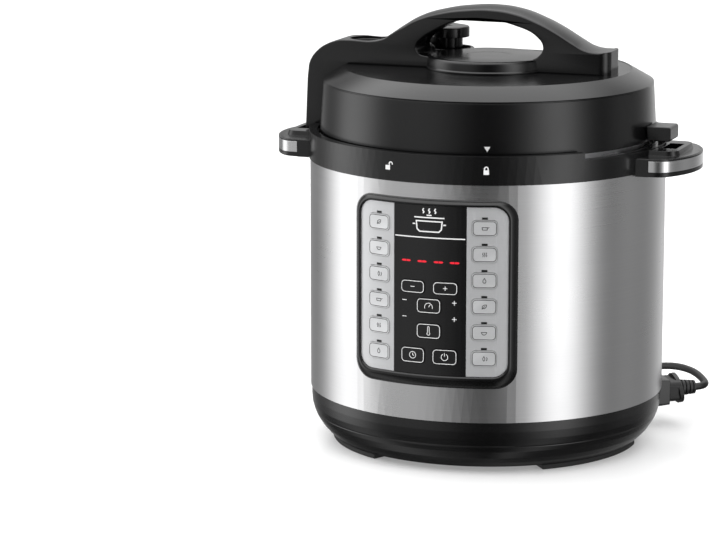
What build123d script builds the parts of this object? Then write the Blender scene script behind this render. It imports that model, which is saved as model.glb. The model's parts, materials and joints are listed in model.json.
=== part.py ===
from build123d import *
import os
from math import cos, pi, radians, sin, tan

# Electric pressure cooker with its lid closed. Millimetres, +Z up, origin on the floor on the body's axis.
# The control panel faces -Y and the lid handle runs along X. Angles are measured from the front towards +X.

os.makedirs("parts", exist_ok=True)

# ---------------------------------------------------------------- driving dimensions
SHELL_R = 131.0
SHELL_WALL = 1.0
SEAM_Z = 40.0
COLLAR_BOTTOM = 211.0
COLLAR_TOP = 231.5
COLLAR_R = 132.0
COLLAR_BORE_R = 125.8
NOTCH_Z = 226.3
NOTCH_START = 49.0
NOTCH_END = 98.0
PLASTIC = 2.6
STEEL = 1.2
GAP = 0.3

BASE_BOTTOM = 3.8
BASE_R = 115.0
COVER_R = 112.3
COVER_THICK = 2.0
FOOT_ARC = 54.0
FOOT_CENTRES = (66.0, 186.0, 306.0)
FOOT_INNER_R = 98.0
FOOT_OUTER_R = 114.3

POT_R = 110.0
POT_WALL = 1.8
POT_BOTTOM = 63.0
POT_TOP = 217.0
POT_RIM_R = 118.0
POT_CORNER = 18.0
WELL_R = 114.0
WELL_FLOOR = 44.0
WELL_TOP = 212.0
PLATE_TOP = POT_BOTTOM - GAP
SENSOR_R = 8.5

LUG_COUNT = 6
LUG_ARC = 24.0
LOCK_R = 124.2
LOCK_TOP = 226.0
LOCK_LUG_R = 119.5
LOCK_LUG_BOTTOM = 222.5

LID_BOTTOM = 232.0
LID_R = 124.5
LID_EDGE_R = 122.0
LID_EDGE_Z = 268.0
LID_SHOULDER_R = 105.4
LID_SHOULDER_Z = 277.4
LID_TOP = 276.9
LID_TOP_R = 104.4
INNER_LID_R = 118.6
INNER_LID_TOP = 233.9
LID_SKIRT_BOTTOM = 218.0
LID_LUG_R = 123.2

HANDLE_HALF = 16.5
HANDLE_END_X = 96.0
HANDLE_END_CORNER = 8.0
COLUMN_BOTTOM = 226.8
ISLAND_TOP = 285.2
ISLAND_R = 45.0
PLATFORM_TOP = 294.6
RECESS_R = 13.5
RECESS_FLOOR = 292.0
FLOAT_X = -94.0
KNOB_X = -42.0
KNOB_Y = 35.0
STEM_COLLAR_R = 11.7
KNOB_WELL_R = 16.0
FIN_HALF = 11.5

SIDE_TIP = 161.0
SIDE_HALF = 44.0
SIDE_BOTTOM = 209.5
SIDE_TOP = 222.5
SIDE_ARC_R = 65.0
SIDE_CORNER = 14.0
BOSS_TOP = 226.0
TRIM_THICK = 0.8
TRIM_BOTTOM = 213.0
TRIM_TOP = 221.0
TRIM_START = 134.0

PANEL_MID_Z = 132.65
PANEL_TALL = 135.3
PANEL_HALF_WIDTH = 60.5
PANEL_CORNER = 14.0
BEZEL_R = 135.0
LEDGE_R = 132.2
PLATE_R = 133.4
PLATE_TALL = 121.5
PLATE_MID_Z = 135.0
PLATE_SPLIT = 27.0
PLATE_EDGE = 55.0
PLATE_CORNER = 10.0
WINDOW_CORNER = 4.0
LEDGE_WIDTH = 3.0
POST_HALF = 0.6

KEY_BACK_R = 131.2
KEY_LIP_THICK = 0.7
KEY_LIP = 0.8
KEY_FACE_R = 133.9
KEY_GAP = 0.3
KEY_CORNER = 3.0
SIDE_KEY_ANGLE = 17.1
SIDE_KEY_SIZE = (17.8, 11.2)
SIDE_KEY_HEIGHTS = (181.0, 162.3, 143.6, 124.9, 106.2, 87.5)
CENTRE_KEYS = {
    "minus_key": (-5.2, 137.2, 18.3, 9.5),
    "plus_key": (5.2, 137.2, 18.3, 9.5),
    "pressure_key": (0.0, 124.0, 18.2, 11.0),
    "temperature_key": (0.0, 105.8, 18.2, 11.0),
    "delay_key": (-5.1, 87.7, 18.2, 11.4),
    "start_key": (5.1, 87.7, 18.2, 11.4),
}

INLET_ANGLE = 124.0
INLET_Z = 26.5
CORD_D = 5.5


# ---------------------------------------------------------------- shared helpers
def spoke(angle, radius=0.0, height=0.0):
    """Plane that faces outward at an angle round the body: its x runs right and its y runs up."""
    turn = radians(angle)
    return Plane(
        origin=(radius * sin(turn), -radius * cos(turn), height),
        x_dir=(cos(turn), sin(turn), 0),
        z_dir=(sin(turn), -cos(turn), 0),
    )


def polar(angle, radius):
    """X and Y of a point at an angle round the body."""
    return radius * sin(radians(angle)), -radius * cos(radians(angle))


def ring(inner, outer, low, high, mode=Mode.ADD):
    """Round band about the body's axis."""
    with BuildSketch(Plane.XY.offset(low)) as band:
        Circle(outer)
        if inner > 0:
            Circle(inner, mode=Mode.SUBTRACT)
    extrude(band.sketch, amount=high - low, mode=mode)


def sector(inner, outer, start, end, low, high, mode=Mode.ADD):
    """Part of a round band between two angles."""
    middle = (start + end) / 2
    with BuildSketch(Plane.XY.offset(low)) as piece:
        with BuildLine():
            outer_arc = ThreePointArc(polar(start, outer), polar(middle, outer), polar(end, outer))
            inner_arc = ThreePointArc(polar(start, inner), polar(middle, inner), polar(end, inner))
            Line(outer_arc @ 0, inner_arc @ 0)
            Line(outer_arc @ 1, inner_arc @ 1)
        make_face()
    extrude(piece.sketch, amount=high - low, mode=mode)


def disc(centre, radius, low, high, mode=Mode.ADD):
    """Upright cylinder between two heights."""
    with BuildSketch(Plane.XY.offset(low)) as circle:
        with Locations(centre):
            Circle(radius)
    extrude(circle.sketch, amount=high - low, mode=mode)


def block(x, y, z, mode=Mode.ADD):
    """Box between two values on each axis."""
    with BuildSketch(Plane.XY.offset(z[0])) as footprint:
        with Locations(((x[0] + x[1]) / 2, (y[0] + y[1]) / 2)):
            Rectangle(x[1] - x[0], y[1] - y[0])
    extrude(footprint.sketch, amount=z[1] - z[0], mode=mode)


def finish(part, name):
    """Label a piece and write its STEP file."""
    part.label = name
    export_step(part, f"parts/{name}.step")


# ---------------------------------------------------------------- base
BOWL_R = 130.2
BOWL_SIDE_Z = 33.0
BOWL_FOOT_Z = 4.8
with BuildPart() as base_bowl:
    with BuildSketch(Plane.XZ):
        with BuildLine():
            Polyline((BASE_R - PLASTIC, BASE_BOTTOM), (BASE_R, BASE_BOTTOM), (BASE_R + 0.6, BOWL_FOOT_Z))
            ThreePointArc((BASE_R + 0.6, BOWL_FOOT_Z), (125.8, 17.0), (BOWL_R, BOWL_SIDE_Z))
            Polyline((BOWL_R, BOWL_SIDE_Z), (BOWL_R, SEAM_Z), (129.8, SEAM_Z), (129.8, SEAM_Z + 6),
                     (127.4, SEAM_Z + 6), (127.4, BOWL_SIDE_Z))
            ThreePointArc((127.4, BOWL_SIDE_Z), (123.4, 18.6), (114.2, BOWL_FOOT_Z + 2.6))
            Line((114.2, BOWL_FOOT_Z + 2.6), (BASE_R - PLASTIC, BASE_BOTTOM))
        make_face()
    revolve(axis=Axis.Z)
    for angle in (45, 135, 225, 315):
        disc(polar(angle, 105.5), 6.0, BASE_BOTTOM + COVER_THICK, 24)
        with BuildSketch(Plane.XY.offset(BASE_BOTTOM)) as rib:
            with Locations(Location((*polar(angle, 109.5), 0), (0, 0, angle))):
                Rectangle(5, 8)
        extrude(rib.sketch.moved(Location((0, 0, COVER_THICK))), amount=16)
        disc(polar(angle, 105.5), 1.5, BASE_BOTTOM, 20, mode=Mode.SUBTRACT)
    with BuildSketch(spoke(INLET_ANGLE, 105, INLET_Z)) as inlet_hole:
        Rectangle(34.6, 24.6)
    extrude(inlet_hole.sketch, amount=30, mode=Mode.SUBTRACT)
finish(base_bowl.part, "base_bowl")

with BuildPart() as bottom_cover:
    ring(0, COVER_R - 0.1, BASE_BOTTOM, BASE_BOTTOM + COVER_THICK)
    with BuildSketch(Plane.XY.offset(BASE_BOTTOM)):
        with PolarLocations(60, 12):
            SlotOverall(26, 4)
        with PolarLocations(30, 6):
            SlotOverall(20, 4)
    extrude(amount=COVER_THICK, mode=Mode.SUBTRACT)
    for angle in (45, 135, 225, 315):
        disc(polar(angle, 105.5), 3.7, BASE_BOTTOM, BASE_BOTTOM + COVER_THICK, mode=Mode.SUBTRACT)
finish(bottom_cover.part, "bottom_cover")

with BuildPart() as feet:
    for centre in FOOT_CENTRES:
        sector(FOOT_INNER_R, FOOT_OUTER_R, centre - FOOT_ARC / 2, centre + FOOT_ARC / 2, 0, BASE_BOTTOM)
finish(feet.part, "feet")

with BuildPart() as bottom_screws:
    for angle in (45, 135, 225, 315):
        disc(polar(angle, 105.5), 3.6, BASE_BOTTOM + 0.2, BASE_BOTTOM + COVER_THICK)
        disc(polar(angle, 105.5), 1.45, BASE_BOTTOM + COVER_THICK, 19)
finish(bottom_screws.part, "bottom_screws")

# ---------------------------------------------------------------- shell, collar and side handles
with BuildPart() as steel_shell:
    ring(SHELL_R - SHELL_WALL, SHELL_R, SEAM_Z, COLLAR_BOTTOM)
    with BuildSketch(Plane.XZ) as panel_window_cut:
        with Locations((0, PANEL_MID_Z)):
            RectangleRounded(2 * PANEL_HALF_WIDTH - 12, PANEL_TALL - 12, PANEL_CORNER - 4)
    extrude(panel_window_cut.sketch, amount=SHELL_R + 5, mode=Mode.SUBTRACT)
finish(steel_shell.part, "steel_shell")

LEDGE_SIZE = (60.0, 5.0)
CUP_REACH = 155.0
with BuildPart() as top_collar:
    ring(COLLAR_BORE_R, COLLAR_R, COLLAR_BOTTOM, COLLAR_TOP)
    for start in (NOTCH_START, NOTCH_START - 180):
        sector(COLLAR_BORE_R - 3, COLLAR_R + 3, start, start + NOTCH_END - NOTCH_START, NOTCH_Z,
               COLLAR_TOP + 1, mode=Mode.SUBTRACT)
    block((-LEDGE_SIZE[0] / 2, LEDGE_SIZE[0] / 2), (128, CUP_REACH - 2),
          (COLLAR_BOTTOM, COLLAR_BOTTOM + LEDGE_SIZE[1]))
    ring(0, COLLAR_BORE_R, COLLAR_BOTTOM - 1, COLLAR_TOP + 1, mode=Mode.SUBTRACT)
    disc((0, 141), 4, COLLAR_BOTTOM - 1, COLLAR_TOP, mode=Mode.SUBTRACT)
finish(top_collar.part, "top_collar")


def side_outline(shrink=0.0):
    """Outline of the side handle on the +X side: straight sides, round corners and a curved end."""
    with BuildSketch() as outline:
        with Locations((SIDE_TIP - SIDE_ARC_R, 0)):
            Circle(SIDE_ARC_R - shrink)
        with Locations((SIDE_TIP - SIDE_ARC_R + 20, 0)):
            Rectangle(2 * SIDE_ARC_R + 20, 2 * (SIDE_HALF - shrink), mode=Mode.INTERSECT)
        with Locations((SIDE_TIP - SIDE_ARC_R - 20, 0)):
            Rectangle(80, 2 * (SIDE_HALF - shrink))
        corners = outline.vertices().group_by(Axis.X)[-1]
        fillet(corners, SIDE_CORNER)
    return outline.sketch


def make_side_handle():
    """Side handle on the +X side, with the boss and the slot that holds the lid upright."""
    with BuildPart() as side:
        extrude(side_outline(TRIM_THICK + 0.4).moved(Location((0, 0, SIDE_BOTTOM))), amount=SIDE_TOP - SIDE_BOTTOM)
        extrude(side_outline(0).moved(Location((0, 0, TRIM_TOP))), amount=SIDE_TOP - 0.3 - TRIM_TOP)
        extrude(side_outline(0).moved(Location((0, 0, SIDE_BOTTOM + 0.6))), amount=TRIM_BOTTOM - SIDE_BOTTOM - 0.6)
        with BuildSketch(Plane.XY.offset(SIDE_TOP)):
            with Locations((132, 0)):
                RectangleRounded(38, 54, 9)
        extrude(amount=BOSS_TOP - SIDE_TOP, taper=20)
        block((124, TRIM_START - 0.3), (-SIDE_HALF, SIDE_HALF), (SIDE_BOTTOM, SIDE_TOP - 0.3))
        ring(0, COLLAR_R, SIDE_BOTTOM - 1, BOSS_TOP + 1, mode=Mode.SUBTRACT)
        block((135.5, 146.0), (-12.4, 12.4), (SIDE_BOTTOM + 3, BOSS_TOP + 1), mode=Mode.SUBTRACT)
    return side.part


def make_side_trim():
    """Steel strip round the end of the +X side handle."""
    with BuildPart() as trim:
        extrude(side_outline(0).moved(Location((0, 0, TRIM_BOTTOM))), amount=TRIM_TOP - TRIM_BOTTOM)
        extrude(side_outline(TRIM_THICK).moved(Location((0, 0, TRIM_BOTTOM))), amount=TRIM_TOP - TRIM_BOTTOM,
                mode=Mode.SUBTRACT)
        block((0, TRIM_START), (-SIDE_HALF - 1, SIDE_HALF + 1), (TRIM_BOTTOM, TRIM_TOP), mode=Mode.SUBTRACT)
    return trim.part


HALF_TURN = Location((0, 0, 0), (0, 0, 180))
right_side = make_side_handle()
finish(right_side, "right_handle")
finish(right_side.moved(HALF_TURN), "left_handle")
right_trim = make_side_trim()
finish(right_trim, "right_handle_trim")
finish(right_trim.moved(HALF_TURN), "left_handle_trim")

# ---------------------------------------------------------------- cooking well
with BuildPart() as outer_pot:
    with BuildSketch(Plane.XZ):
        with BuildLine():
            Polyline((10, WELL_FLOOR), (WELL_R + STEEL, WELL_FLOOR), (WELL_R + STEEL, WELL_TOP),
                     (LOCK_R + 1.4, WELL_TOP), (LOCK_R + 1.4, WELL_TOP + STEEL), (WELL_R, WELL_TOP + STEEL),
                     (WELL_R, WELL_FLOOR + STEEL), (10, WELL_FLOOR + STEEL), close=True)
        make_face()
    revolve(axis=Axis.Z)
finish(outer_pot.part, "outer_pot")

with BuildPart() as lock_ring:
    ring(LOCK_R, LOCK_R + 1.4, WELL_TOP + STEEL, LOCK_TOP)
    for index in range(LUG_COUNT):
        centre = index * 360 / LUG_COUNT
        sector(LOCK_LUG_R, LOCK_R + 0.7, centre - LUG_ARC / 2, centre + LUG_ARC / 2, LOCK_LUG_BOTTOM,
               LOCK_LUG_BOTTOM + 2.5)
finish(lock_ring.part, "lock_ring")

with BuildPart() as heating_plate:
    ring(SENSOR_R + 0.5, 92, PLATE_TOP - 8, PLATE_TOP)
    ring(SENSOR_R + 12, 74, PLATE_TOP - 14, PLATE_TOP - 8)
    for angle in (60, 180, 300):
        disc(polar(angle, 84), 4, WELL_FLOOR + STEEL, PLATE_TOP - 8)
finish(heating_plate.part, "heating_plate")

with BuildPart() as temperature_sensor:
    disc((0, 0), SENSOR_R, PLATE_TOP - 8, PLATE_TOP)
    disc((0, 0), SENSOR_R - 2, WELL_FLOOR + 4, PLATE_TOP - 8)
finish(temperature_sensor.part, "temperature_sensor")

with BuildPart() as pressure_switch:
    block((40, 64), (20, 38), (34, WELL_FLOOR))
    block((46, 58), (26, 32), (30, 34))
finish(pressure_switch.part, "pressure_switch")

with BuildPart() as inner_pot:
    with BuildSketch(Plane.XZ):
        with BuildLine():
            Line((0, POT_BOTTOM), (POT_R + POT_WALL - POT_CORNER, POT_BOTTOM))
            RadiusArc((POT_R + POT_WALL - POT_CORNER, POT_BOTTOM), (POT_R + POT_WALL, POT_BOTTOM + POT_CORNER),
                      -POT_CORNER)
            Polyline((POT_R + POT_WALL, POT_BOTTOM + POT_CORNER), (POT_R + POT_WALL, POT_TOP - 2.8),
                     (POT_RIM_R, POT_TOP - 2.8), (POT_RIM_R, POT_TOP - 0.8), (POT_RIM_R - 0.8, POT_TOP),
                     (POT_R, POT_TOP), (POT_R, POT_BOTTOM + POT_CORNER))
            RadiusArc((POT_R, POT_BOTTOM + POT_CORNER), (POT_R + POT_WALL - POT_CORNER, POT_BOTTOM + POT_WALL),
                      POT_CORNER - POT_WALL)
            Polyline((POT_R + POT_WALL - POT_CORNER, POT_BOTTOM + POT_WALL), (0, POT_BOTTOM + POT_WALL),
                     (0, POT_BOTTOM))
        make_face()
    revolve(axis=Axis.Z)
finish(inner_pot.part, "inner_pot")

# ---------------------------------------------------------------- electronics
with BuildPart() as power_board:
    block((-50, 45), (-40, 30), (18, 19.6))
    block((-40, -10), (-25, 5), (19.6, 36))
    block((5, 22), (-30, -8), (19.6, 34))
    disc((35, 5), 8, 19.6, 33)
    for x in (-45, 40):
        for y in (-35, 25):
            disc((x, y), 3, BASE_BOTTOM + COVER_THICK, 18)
finish(power_board.part, "power_board")

BOARD_Y = -118.0
with BuildPart() as control_board:
    block((-48, 48), (BOARD_Y, BOARD_Y + 1.6), (78, 194))
    for x in (-36, -18, 0, 18, 36):
        for z in (87.5, 106.2, 124.9):
            block((x - 3, x + 3), (BOARD_Y - 3.5, BOARD_Y), (z - 3, z + 3))
finish(control_board.part, "control_board")

with BuildPart() as display_module:
    block((-22, 22), (BOARD_Y - 9, BOARD_Y), (145, 168))
finish(display_module.part, "display_module")

# ---------------------------------------------------------------- control panel


def front_slab(x_low, x_high, z_low, z_high, corner, inner, outer, mode=Mode.ADD):
    """Curved slab with a rounded outline seen from the front, between two radii about the body's axis."""
    with BuildPart(mode=Mode.PRIVATE) as slab:
        with BuildSketch(Plane.XZ) as outline:
            with Locations(((x_low + x_high) / 2, (z_low + z_high) / 2)):
                RectangleRounded(x_high - x_low, z_high - z_low, corner)
        extrude(outline.sketch, amount=outer + 5)
        ring(inner, outer, z_low - 1, z_high + 1, mode=Mode.INTERSECT)
    add(slab.part, mode=mode)


PLATE_SPANS = {
    "panel_plate_left": (-PLATE_EDGE, -PLATE_SPLIT),
    "panel_window": (-PLATE_SPLIT + 0.2, PLATE_SPLIT - 0.2),
    "panel_plate_right": (PLATE_SPLIT, PLATE_EDGE),
}
PLATE_LOW = PLATE_MID_Z - PLATE_TALL / 2
PLATE_HIGH = PLATE_MID_Z + PLATE_TALL / 2

side_keys = {}
for side_name, side_sign in (("left", -1), ("right", 1)):
    for row, key_height in enumerate(SIDE_KEY_HEIGHTS, start=1):
        side_keys[f"key_{side_name}_{row}"] = (side_sign * SIDE_KEY_ANGLE, key_height, *SIDE_KEY_SIZE)
all_keys = {**side_keys, **CENTRE_KEYS}


def key_holes(margin):
    """Openings for every key, cut through the piece being made."""
    for angle, height, width, tall in all_keys.values():
        with BuildSketch(spoke(angle, KEY_BACK_R - 15, height)) as opening:
            RectangleRounded(width + 2 * margin, tall + 2 * margin, KEY_CORNER + margin)
        extrude(opening.sketch, amount=25, mode=Mode.SUBTRACT)


with BuildPart() as panel_bezel:
    front_slab(-PANEL_HALF_WIDTH, PANEL_HALF_WIDTH, PANEL_MID_Z - PANEL_TALL / 2, PANEL_MID_Z + PANEL_TALL / 2,
               PANEL_CORNER, SHELL_R, BEZEL_R)
    front_slab(-PLATE_EDGE - 0.2, PLATE_EDGE + 0.2, PLATE_LOW - 0.2, PLATE_HIGH + 0.2, PLATE_CORNER,
               LEDGE_R, BEZEL_R + 1, mode=Mode.SUBTRACT)
    for low_x, high_x in PLATE_SPANS.values():
        front_slab(low_x + POST_HALF, high_x - POST_HALF, PLATE_LOW + LEDGE_WIDTH, PLATE_HIGH - LEDGE_WIDTH,
                   WINDOW_CORNER, SHELL_R - 1, LEDGE_R + 1, mode=Mode.SUBTRACT)
finish(panel_bezel.part, "panel_bezel")

for plate_name, (low_x, high_x) in PLATE_SPANS.items():
    with BuildPart() as panel_plate:
        front_slab(-PLATE_EDGE, PLATE_EDGE, PLATE_LOW, PLATE_HIGH, PLATE_CORNER, LEDGE_R, PLATE_R)
        block((low_x, high_x), (-PLATE_R - 1, 0), (PLATE_LOW, PLATE_HIGH), mode=Mode.INTERSECT)
        key_holes(KEY_GAP)
    finish(panel_plate.part, plate_name)

for key_name, (angle, height, width, tall) in all_keys.items():
    with BuildPart() as panel_key:
        with BuildSketch(spoke(angle, KEY_BACK_R - 20, height)) as lip_outline:
            RectangleRounded(width + 2 * KEY_LIP, tall + 2 * KEY_LIP, KEY_CORNER + KEY_LIP)
        extrude(lip_outline.sketch, amount=40)
        ring(KEY_BACK_R, KEY_BACK_R + KEY_LIP_THICK, height - tall, height + tall, mode=Mode.INTERSECT)
        with BuildSketch(spoke(angle, KEY_BACK_R + 0.4, height)) as cap_outline:
            RectangleRounded(width, tall, KEY_CORNER)
        extrude(cap_outline.sketch, amount=KEY_FACE_R - KEY_BACK_R - 0.4)
    finish(panel_key.part, key_name)

# ---------------------------------------------------------------- lid


def lid_profile(shrink):
    """Half section of the lid cover, moved inward by a wall thickness: wall, sloping shoulder and flat top."""
    wall = (LID_R - shrink, LID_BOTTOM)
    edge = (LID_EDGE_R - shrink, LID_EDGE_Z - shrink * 0.6)
    crest = (LID_SHOULDER_R - shrink * 0.5, LID_SHOULDER_Z - shrink)
    top = (LID_TOP_R - shrink * 0.5, LID_TOP - shrink)
    with BuildSketch(Plane.XZ) as half:
        with BuildLine():
            Polyline((0, LID_BOTTOM), wall, edge, crest, top, (0, LID_TOP - shrink), close=True)
        make_face()
    return half.sketch


LID_SCREW_ANGLES = (30, 150, 270)
with BuildPart() as lid_envelope:
    revolve(lid_profile(0), axis=Axis.Z)

with BuildPart() as lid_cover:
    revolve(lid_profile(0), axis=Axis.Z)
    revolve(lid_profile(PLASTIC), axis=Axis.Z, mode=Mode.SUBTRACT)
    ring(INNER_LID_R, LID_R - PLASTIC, LID_BOTTOM, LID_BOTTOM + 2)
    for angle in LID_SCREW_ANGLES:
        disc(polar(angle, 78), 5, INNER_LID_TOP, LID_TOP - 1)
        disc(polar(angle, 78), 1.6, INNER_LID_TOP, INNER_LID_TOP + 14, mode=Mode.SUBTRACT)
    disc((FLOAT_X, 0), 4.0, LID_BOTTOM, LID_TOP + 2, mode=Mode.SUBTRACT)
    disc((KNOB_X, KNOB_Y), STEM_COLLAR_R, LID_BOTTOM, LID_TOP + 2, mode=Mode.SUBTRACT)
finish(lid_cover.part, "lid_cover")

with BuildPart() as inner_lid:
    ring(0, INNER_LID_R, LID_SKIRT_BOTTOM, INNER_LID_TOP)
    ring(0, INNER_LID_R - STEEL, LID_SKIRT_BOTTOM - 1, INNER_LID_TOP - STEEL, mode=Mode.SUBTRACT)
    for index in range(LUG_COUNT):
        centre = (index + 0.5) * 360 / LUG_COUNT
        sector(INNER_LID_R - STEEL / 2, LID_LUG_R, centre - LUG_ARC / 2, centre + LUG_ARC / 2,
               LID_SKIRT_BOTTOM, LID_SKIRT_BOTTOM + 1.8)
    disc((FLOAT_X, 0), 2.6, INNER_LID_TOP - 5, INNER_LID_TOP + 1, mode=Mode.SUBTRACT)
    disc((KNOB_X, KNOB_Y), 5.0, INNER_LID_TOP - 5, INNER_LID_TOP + 1, mode=Mode.SUBTRACT)
    for angle in LID_SCREW_ANGLES:
        disc(polar(angle, 78), 1.8, INNER_LID_TOP - 5, INNER_LID_TOP + 1, mode=Mode.SUBTRACT)
finish(inner_lid.part, "inner_lid")

with BuildPart() as lid_screws:
    for angle in LID_SCREW_ANGLES:
        disc(polar(angle, 78), 3.2, INNER_LID_TOP - STEEL - 1.8, INNER_LID_TOP - STEEL)
        disc(polar(angle, 78), 1.55, INNER_LID_TOP - STEEL, INNER_LID_TOP + 12)
finish(lid_screws.part, "lid_screws")

SEAL_OUTER = INNER_LID_R - STEEL - 0.5
with BuildPart() as sealing_ring:
    with BuildSketch(Plane.XZ):
        with BuildLine():
            Polyline((POT_R + 1, POT_TOP + GAP), (SEAL_OUTER, POT_TOP + GAP), (SEAL_OUTER, POT_TOP + 9),
                     (POT_R - 2, POT_TOP + 9), (POT_R - 4, POT_TOP + 4.5), (POT_R - 2, POT_TOP + 3), (POT_R, POT_TOP + 3),
                     close=True)
        make_face()
    revolve(axis=Axis.Z)
finish(sealing_ring.part, "sealing_ring")

RACK_R = POT_R - 6.5
with BuildPart() as seal_rack:
    ring(RACK_R - 1.2, RACK_R + 1.2, POT_TOP + 4, POT_TOP + 6.4)
    for index in range(8):
        disc(polar(22.5 + index * 45, RACK_R), 1.1, POT_TOP + 6.4, INNER_LID_TOP - STEEL)
finish(seal_rack.part, "seal_rack")

with BuildPart() as exhaust_stem:
    disc((KNOB_X, KNOB_Y), 4.4, INNER_LID_TOP - 8, 292)
    disc((KNOB_X, KNOB_Y), 8.0, INNER_LID_TOP, INNER_LID_TOP + 3)
    disc((KNOB_X, KNOB_Y), STEM_COLLAR_R, 270, 280.5)
    disc((KNOB_X, KNOB_Y), 1.5, INNER_LID_TOP - 9, 293, mode=Mode.SUBTRACT)
finish(exhaust_stem.part, "exhaust_stem")

with BuildPart() as exhaust_shield:
    disc((KNOB_X, KNOB_Y), 9.0, INNER_LID_TOP - 10, INNER_LID_TOP - STEEL)
    disc((KNOB_X, KNOB_Y), 8.0, INNER_LID_TOP - 9, INNER_LID_TOP, mode=Mode.SUBTRACT)
    for index in range(6):
        with BuildSketch(Plane(origin=(KNOB_X, KNOB_Y, INNER_LID_TOP - 5), z_dir=spoke(index * 60).z_dir)) as vent:
            Rectangle(3, 3)
        extrude(vent.sketch, amount=10, mode=Mode.SUBTRACT)
    disc((KNOB_X, KNOB_Y), 4.6, INNER_LID_TOP - 11, INNER_LID_TOP, mode=Mode.SUBTRACT)
finish(exhaust_shield.part, "exhaust_shield")

KNOB_SKIRT_R = 10.0
KNOB_CAP_R = 15.0
with BuildPart() as steam_release_knob:
    disc((KNOB_X, KNOB_Y), KNOB_SKIRT_R, 281, 294)
    with BuildSketch(Plane.XY.offset(294)):
        with Locations((KNOB_X, KNOB_Y)):
            Circle(KNOB_CAP_R)
        with Locations((KNOB_X - 9, KNOB_Y + 15)):
            Circle(7)
        make_hull()
    extrude(amount=8)
    fillet(steam_release_knob.edges().group_by(Axis.Z)[-1], 1.5)
    disc((KNOB_X, KNOB_Y), 4.7, 280, 292.4, mode=Mode.SUBTRACT)
    disc((KNOB_X, KNOB_Y), 2.0, 301, 303, mode=Mode.SUBTRACT)
finish(steam_release_knob.part, "steam_release_knob")

with BuildPart() as float_valve:
    disc((FLOAT_X, 0), 3.4, 280, 291)
    disc((FLOAT_X, 0), 2.1, INNER_LID_TOP - 10, 280)
    disc((FLOAT_X, 0), 5.0, INNER_LID_TOP - 11, INNER_LID_TOP - 8)
finish(float_valve.part, "float_valve")

# Lid handle: side outline in X and Z. A column down to the side handle, a flat platform round the float valve,
# an arch over a finger window, and a short low end.
with BuildPart() as lid_handle:
    with BuildSketch(Plane.XZ.offset(-HANDLE_HALF)):
        with BuildLine():
            Polyline((-LID_R + 1, COLUMN_BOTTOM), (-138.0, COLUMN_BOTTOM), (-136.8, 255), (-135.8, 270), (-134.2, 278))
            Spline((-134.2, 278), (-128.2, 286), (-122.0, 290.3), (-112.0, PLATFORM_TOP))
            Line((-112.0, PLATFORM_TOP), (-81.0, PLATFORM_TOP))
            Spline((-81.0, PLATFORM_TOP), (-75, 297.6), (-63.2, 306.8), (-50.8, 313.9), (-32.2, 319.5), (-12, 322.6),
                   (6, 323.4), (25.2, 321.0), (40.4, 315.9), (51.7, 310.8), (66.9, 302.2), (77, 295.9), (86, 293.6))
            Polyline((86, 293.6), (HANDLE_END_X, 293.6), (HANDLE_END_X, 262), (-LID_R + 1, 262),
                     (-LID_R + 1, COLUMN_BOTTOM))
        make_face()
    extrude(amount=2 * HANDLE_HALF)
    end_edges = lid_handle.edges().filter_by(Axis.Z).group_by(Axis.X)[-1]
    fillet(end_edges, HANDLE_END_CORNER)
    with BuildSketch(Plane.XY.offset(262)):
        Circle(ISLAND_R)
        with Locations((KNOB_X, KNOB_Y)):
            Circle(KNOB_WELL_R + PLASTIC)
    extrude(amount=ISLAND_TOP - 262)
    with BuildSketch(Plane.XZ.offset(-60)) as finger_window:
        with BuildLine():
            Spline((-51, ISLAND_TOP + 4), (-41, 302.4), (-20, 311.8), (0, 313.9), (27, 309.6), (42, 302.6),
                   (46.4, 295.4), (43.5, 289), (36, ISLAND_TOP))
            Polyline((36, ISLAND_TOP), (-48, ISLAND_TOP), (-51, ISLAND_TOP + 4))
        make_face()
    extrude(finger_window.sketch, amount=120, mode=Mode.SUBTRACT)
    add(lid_envelope.part, mode=Mode.SUBTRACT)
    disc((FLOAT_X, 0), 3.8, 262, 310, mode=Mode.SUBTRACT)
    disc((FLOAT_X, 0), RECESS_R, RECESS_FLOOR, 310, mode=Mode.SUBTRACT)
    disc((KNOB_X, KNOB_Y), KNOB_WELL_R, 262, ISLAND_TOP + 1, mode=Mode.SUBTRACT)
finish(lid_handle.part, "lid_handle")

with BuildPart() as lid_fin:
    block((LID_EDGE_R, 141.5), (-FIN_HALF, FIN_HALF), (230.5, 241))
    fillet(lid_fin.edges().filter_by(Axis.Y).group_by(Axis.X)[-1], 2.0)
    add(lid_envelope.part, mode=Mode.SUBTRACT)
    ring(0, LID_R, 230, LID_BOTTOM, mode=Mode.SUBTRACT)
finish(lid_fin.part, "lid_fin")

# ---------------------------------------------------------------- condensation cup
CUP_TOP = COLLAR_BOTTOM - 0.5
CUP_WALL = 1.6
with BuildPart() as condensation_cup:
    with BuildSketch(Plane.XY.offset(CUP_TOP - 42)):
        with Locations((0, (133 + CUP_REACH) / 2)):
            RectangleRounded(58, CUP_REACH - 133, 6)
    extrude(amount=42)
    with BuildSketch(Plane.XY.offset(CUP_TOP - 42 + CUP_WALL)):
        with Locations((0, (133 + CUP_REACH) / 2)):
            RectangleRounded(58 - 2 * CUP_WALL, CUP_REACH - 133 - 2 * CUP_WALL, 4.4)
    extrude(amount=42, mode=Mode.SUBTRACT)
finish(condensation_cup.part, "condensation_cup")

# ---------------------------------------------------------------- inlet and cord


def radial_block(inner, outer, width, tall, across=0.0, up=0.0, taper=0.0, corner=0.0, mode=Mode.ADD):
    """Block along the inlet's direction between two radii, centred on the inlet's axis."""
    with BuildSketch(spoke(INLET_ANGLE, inner, INLET_Z)) as outline:
        with Locations((across, up)):
            if corner:
                RectangleRounded(width, tall, corner)
            else:
                Rectangle(width, tall)
    extrude(outline.sketch, amount=outer - inner, taper=taper, mode=mode)


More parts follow.
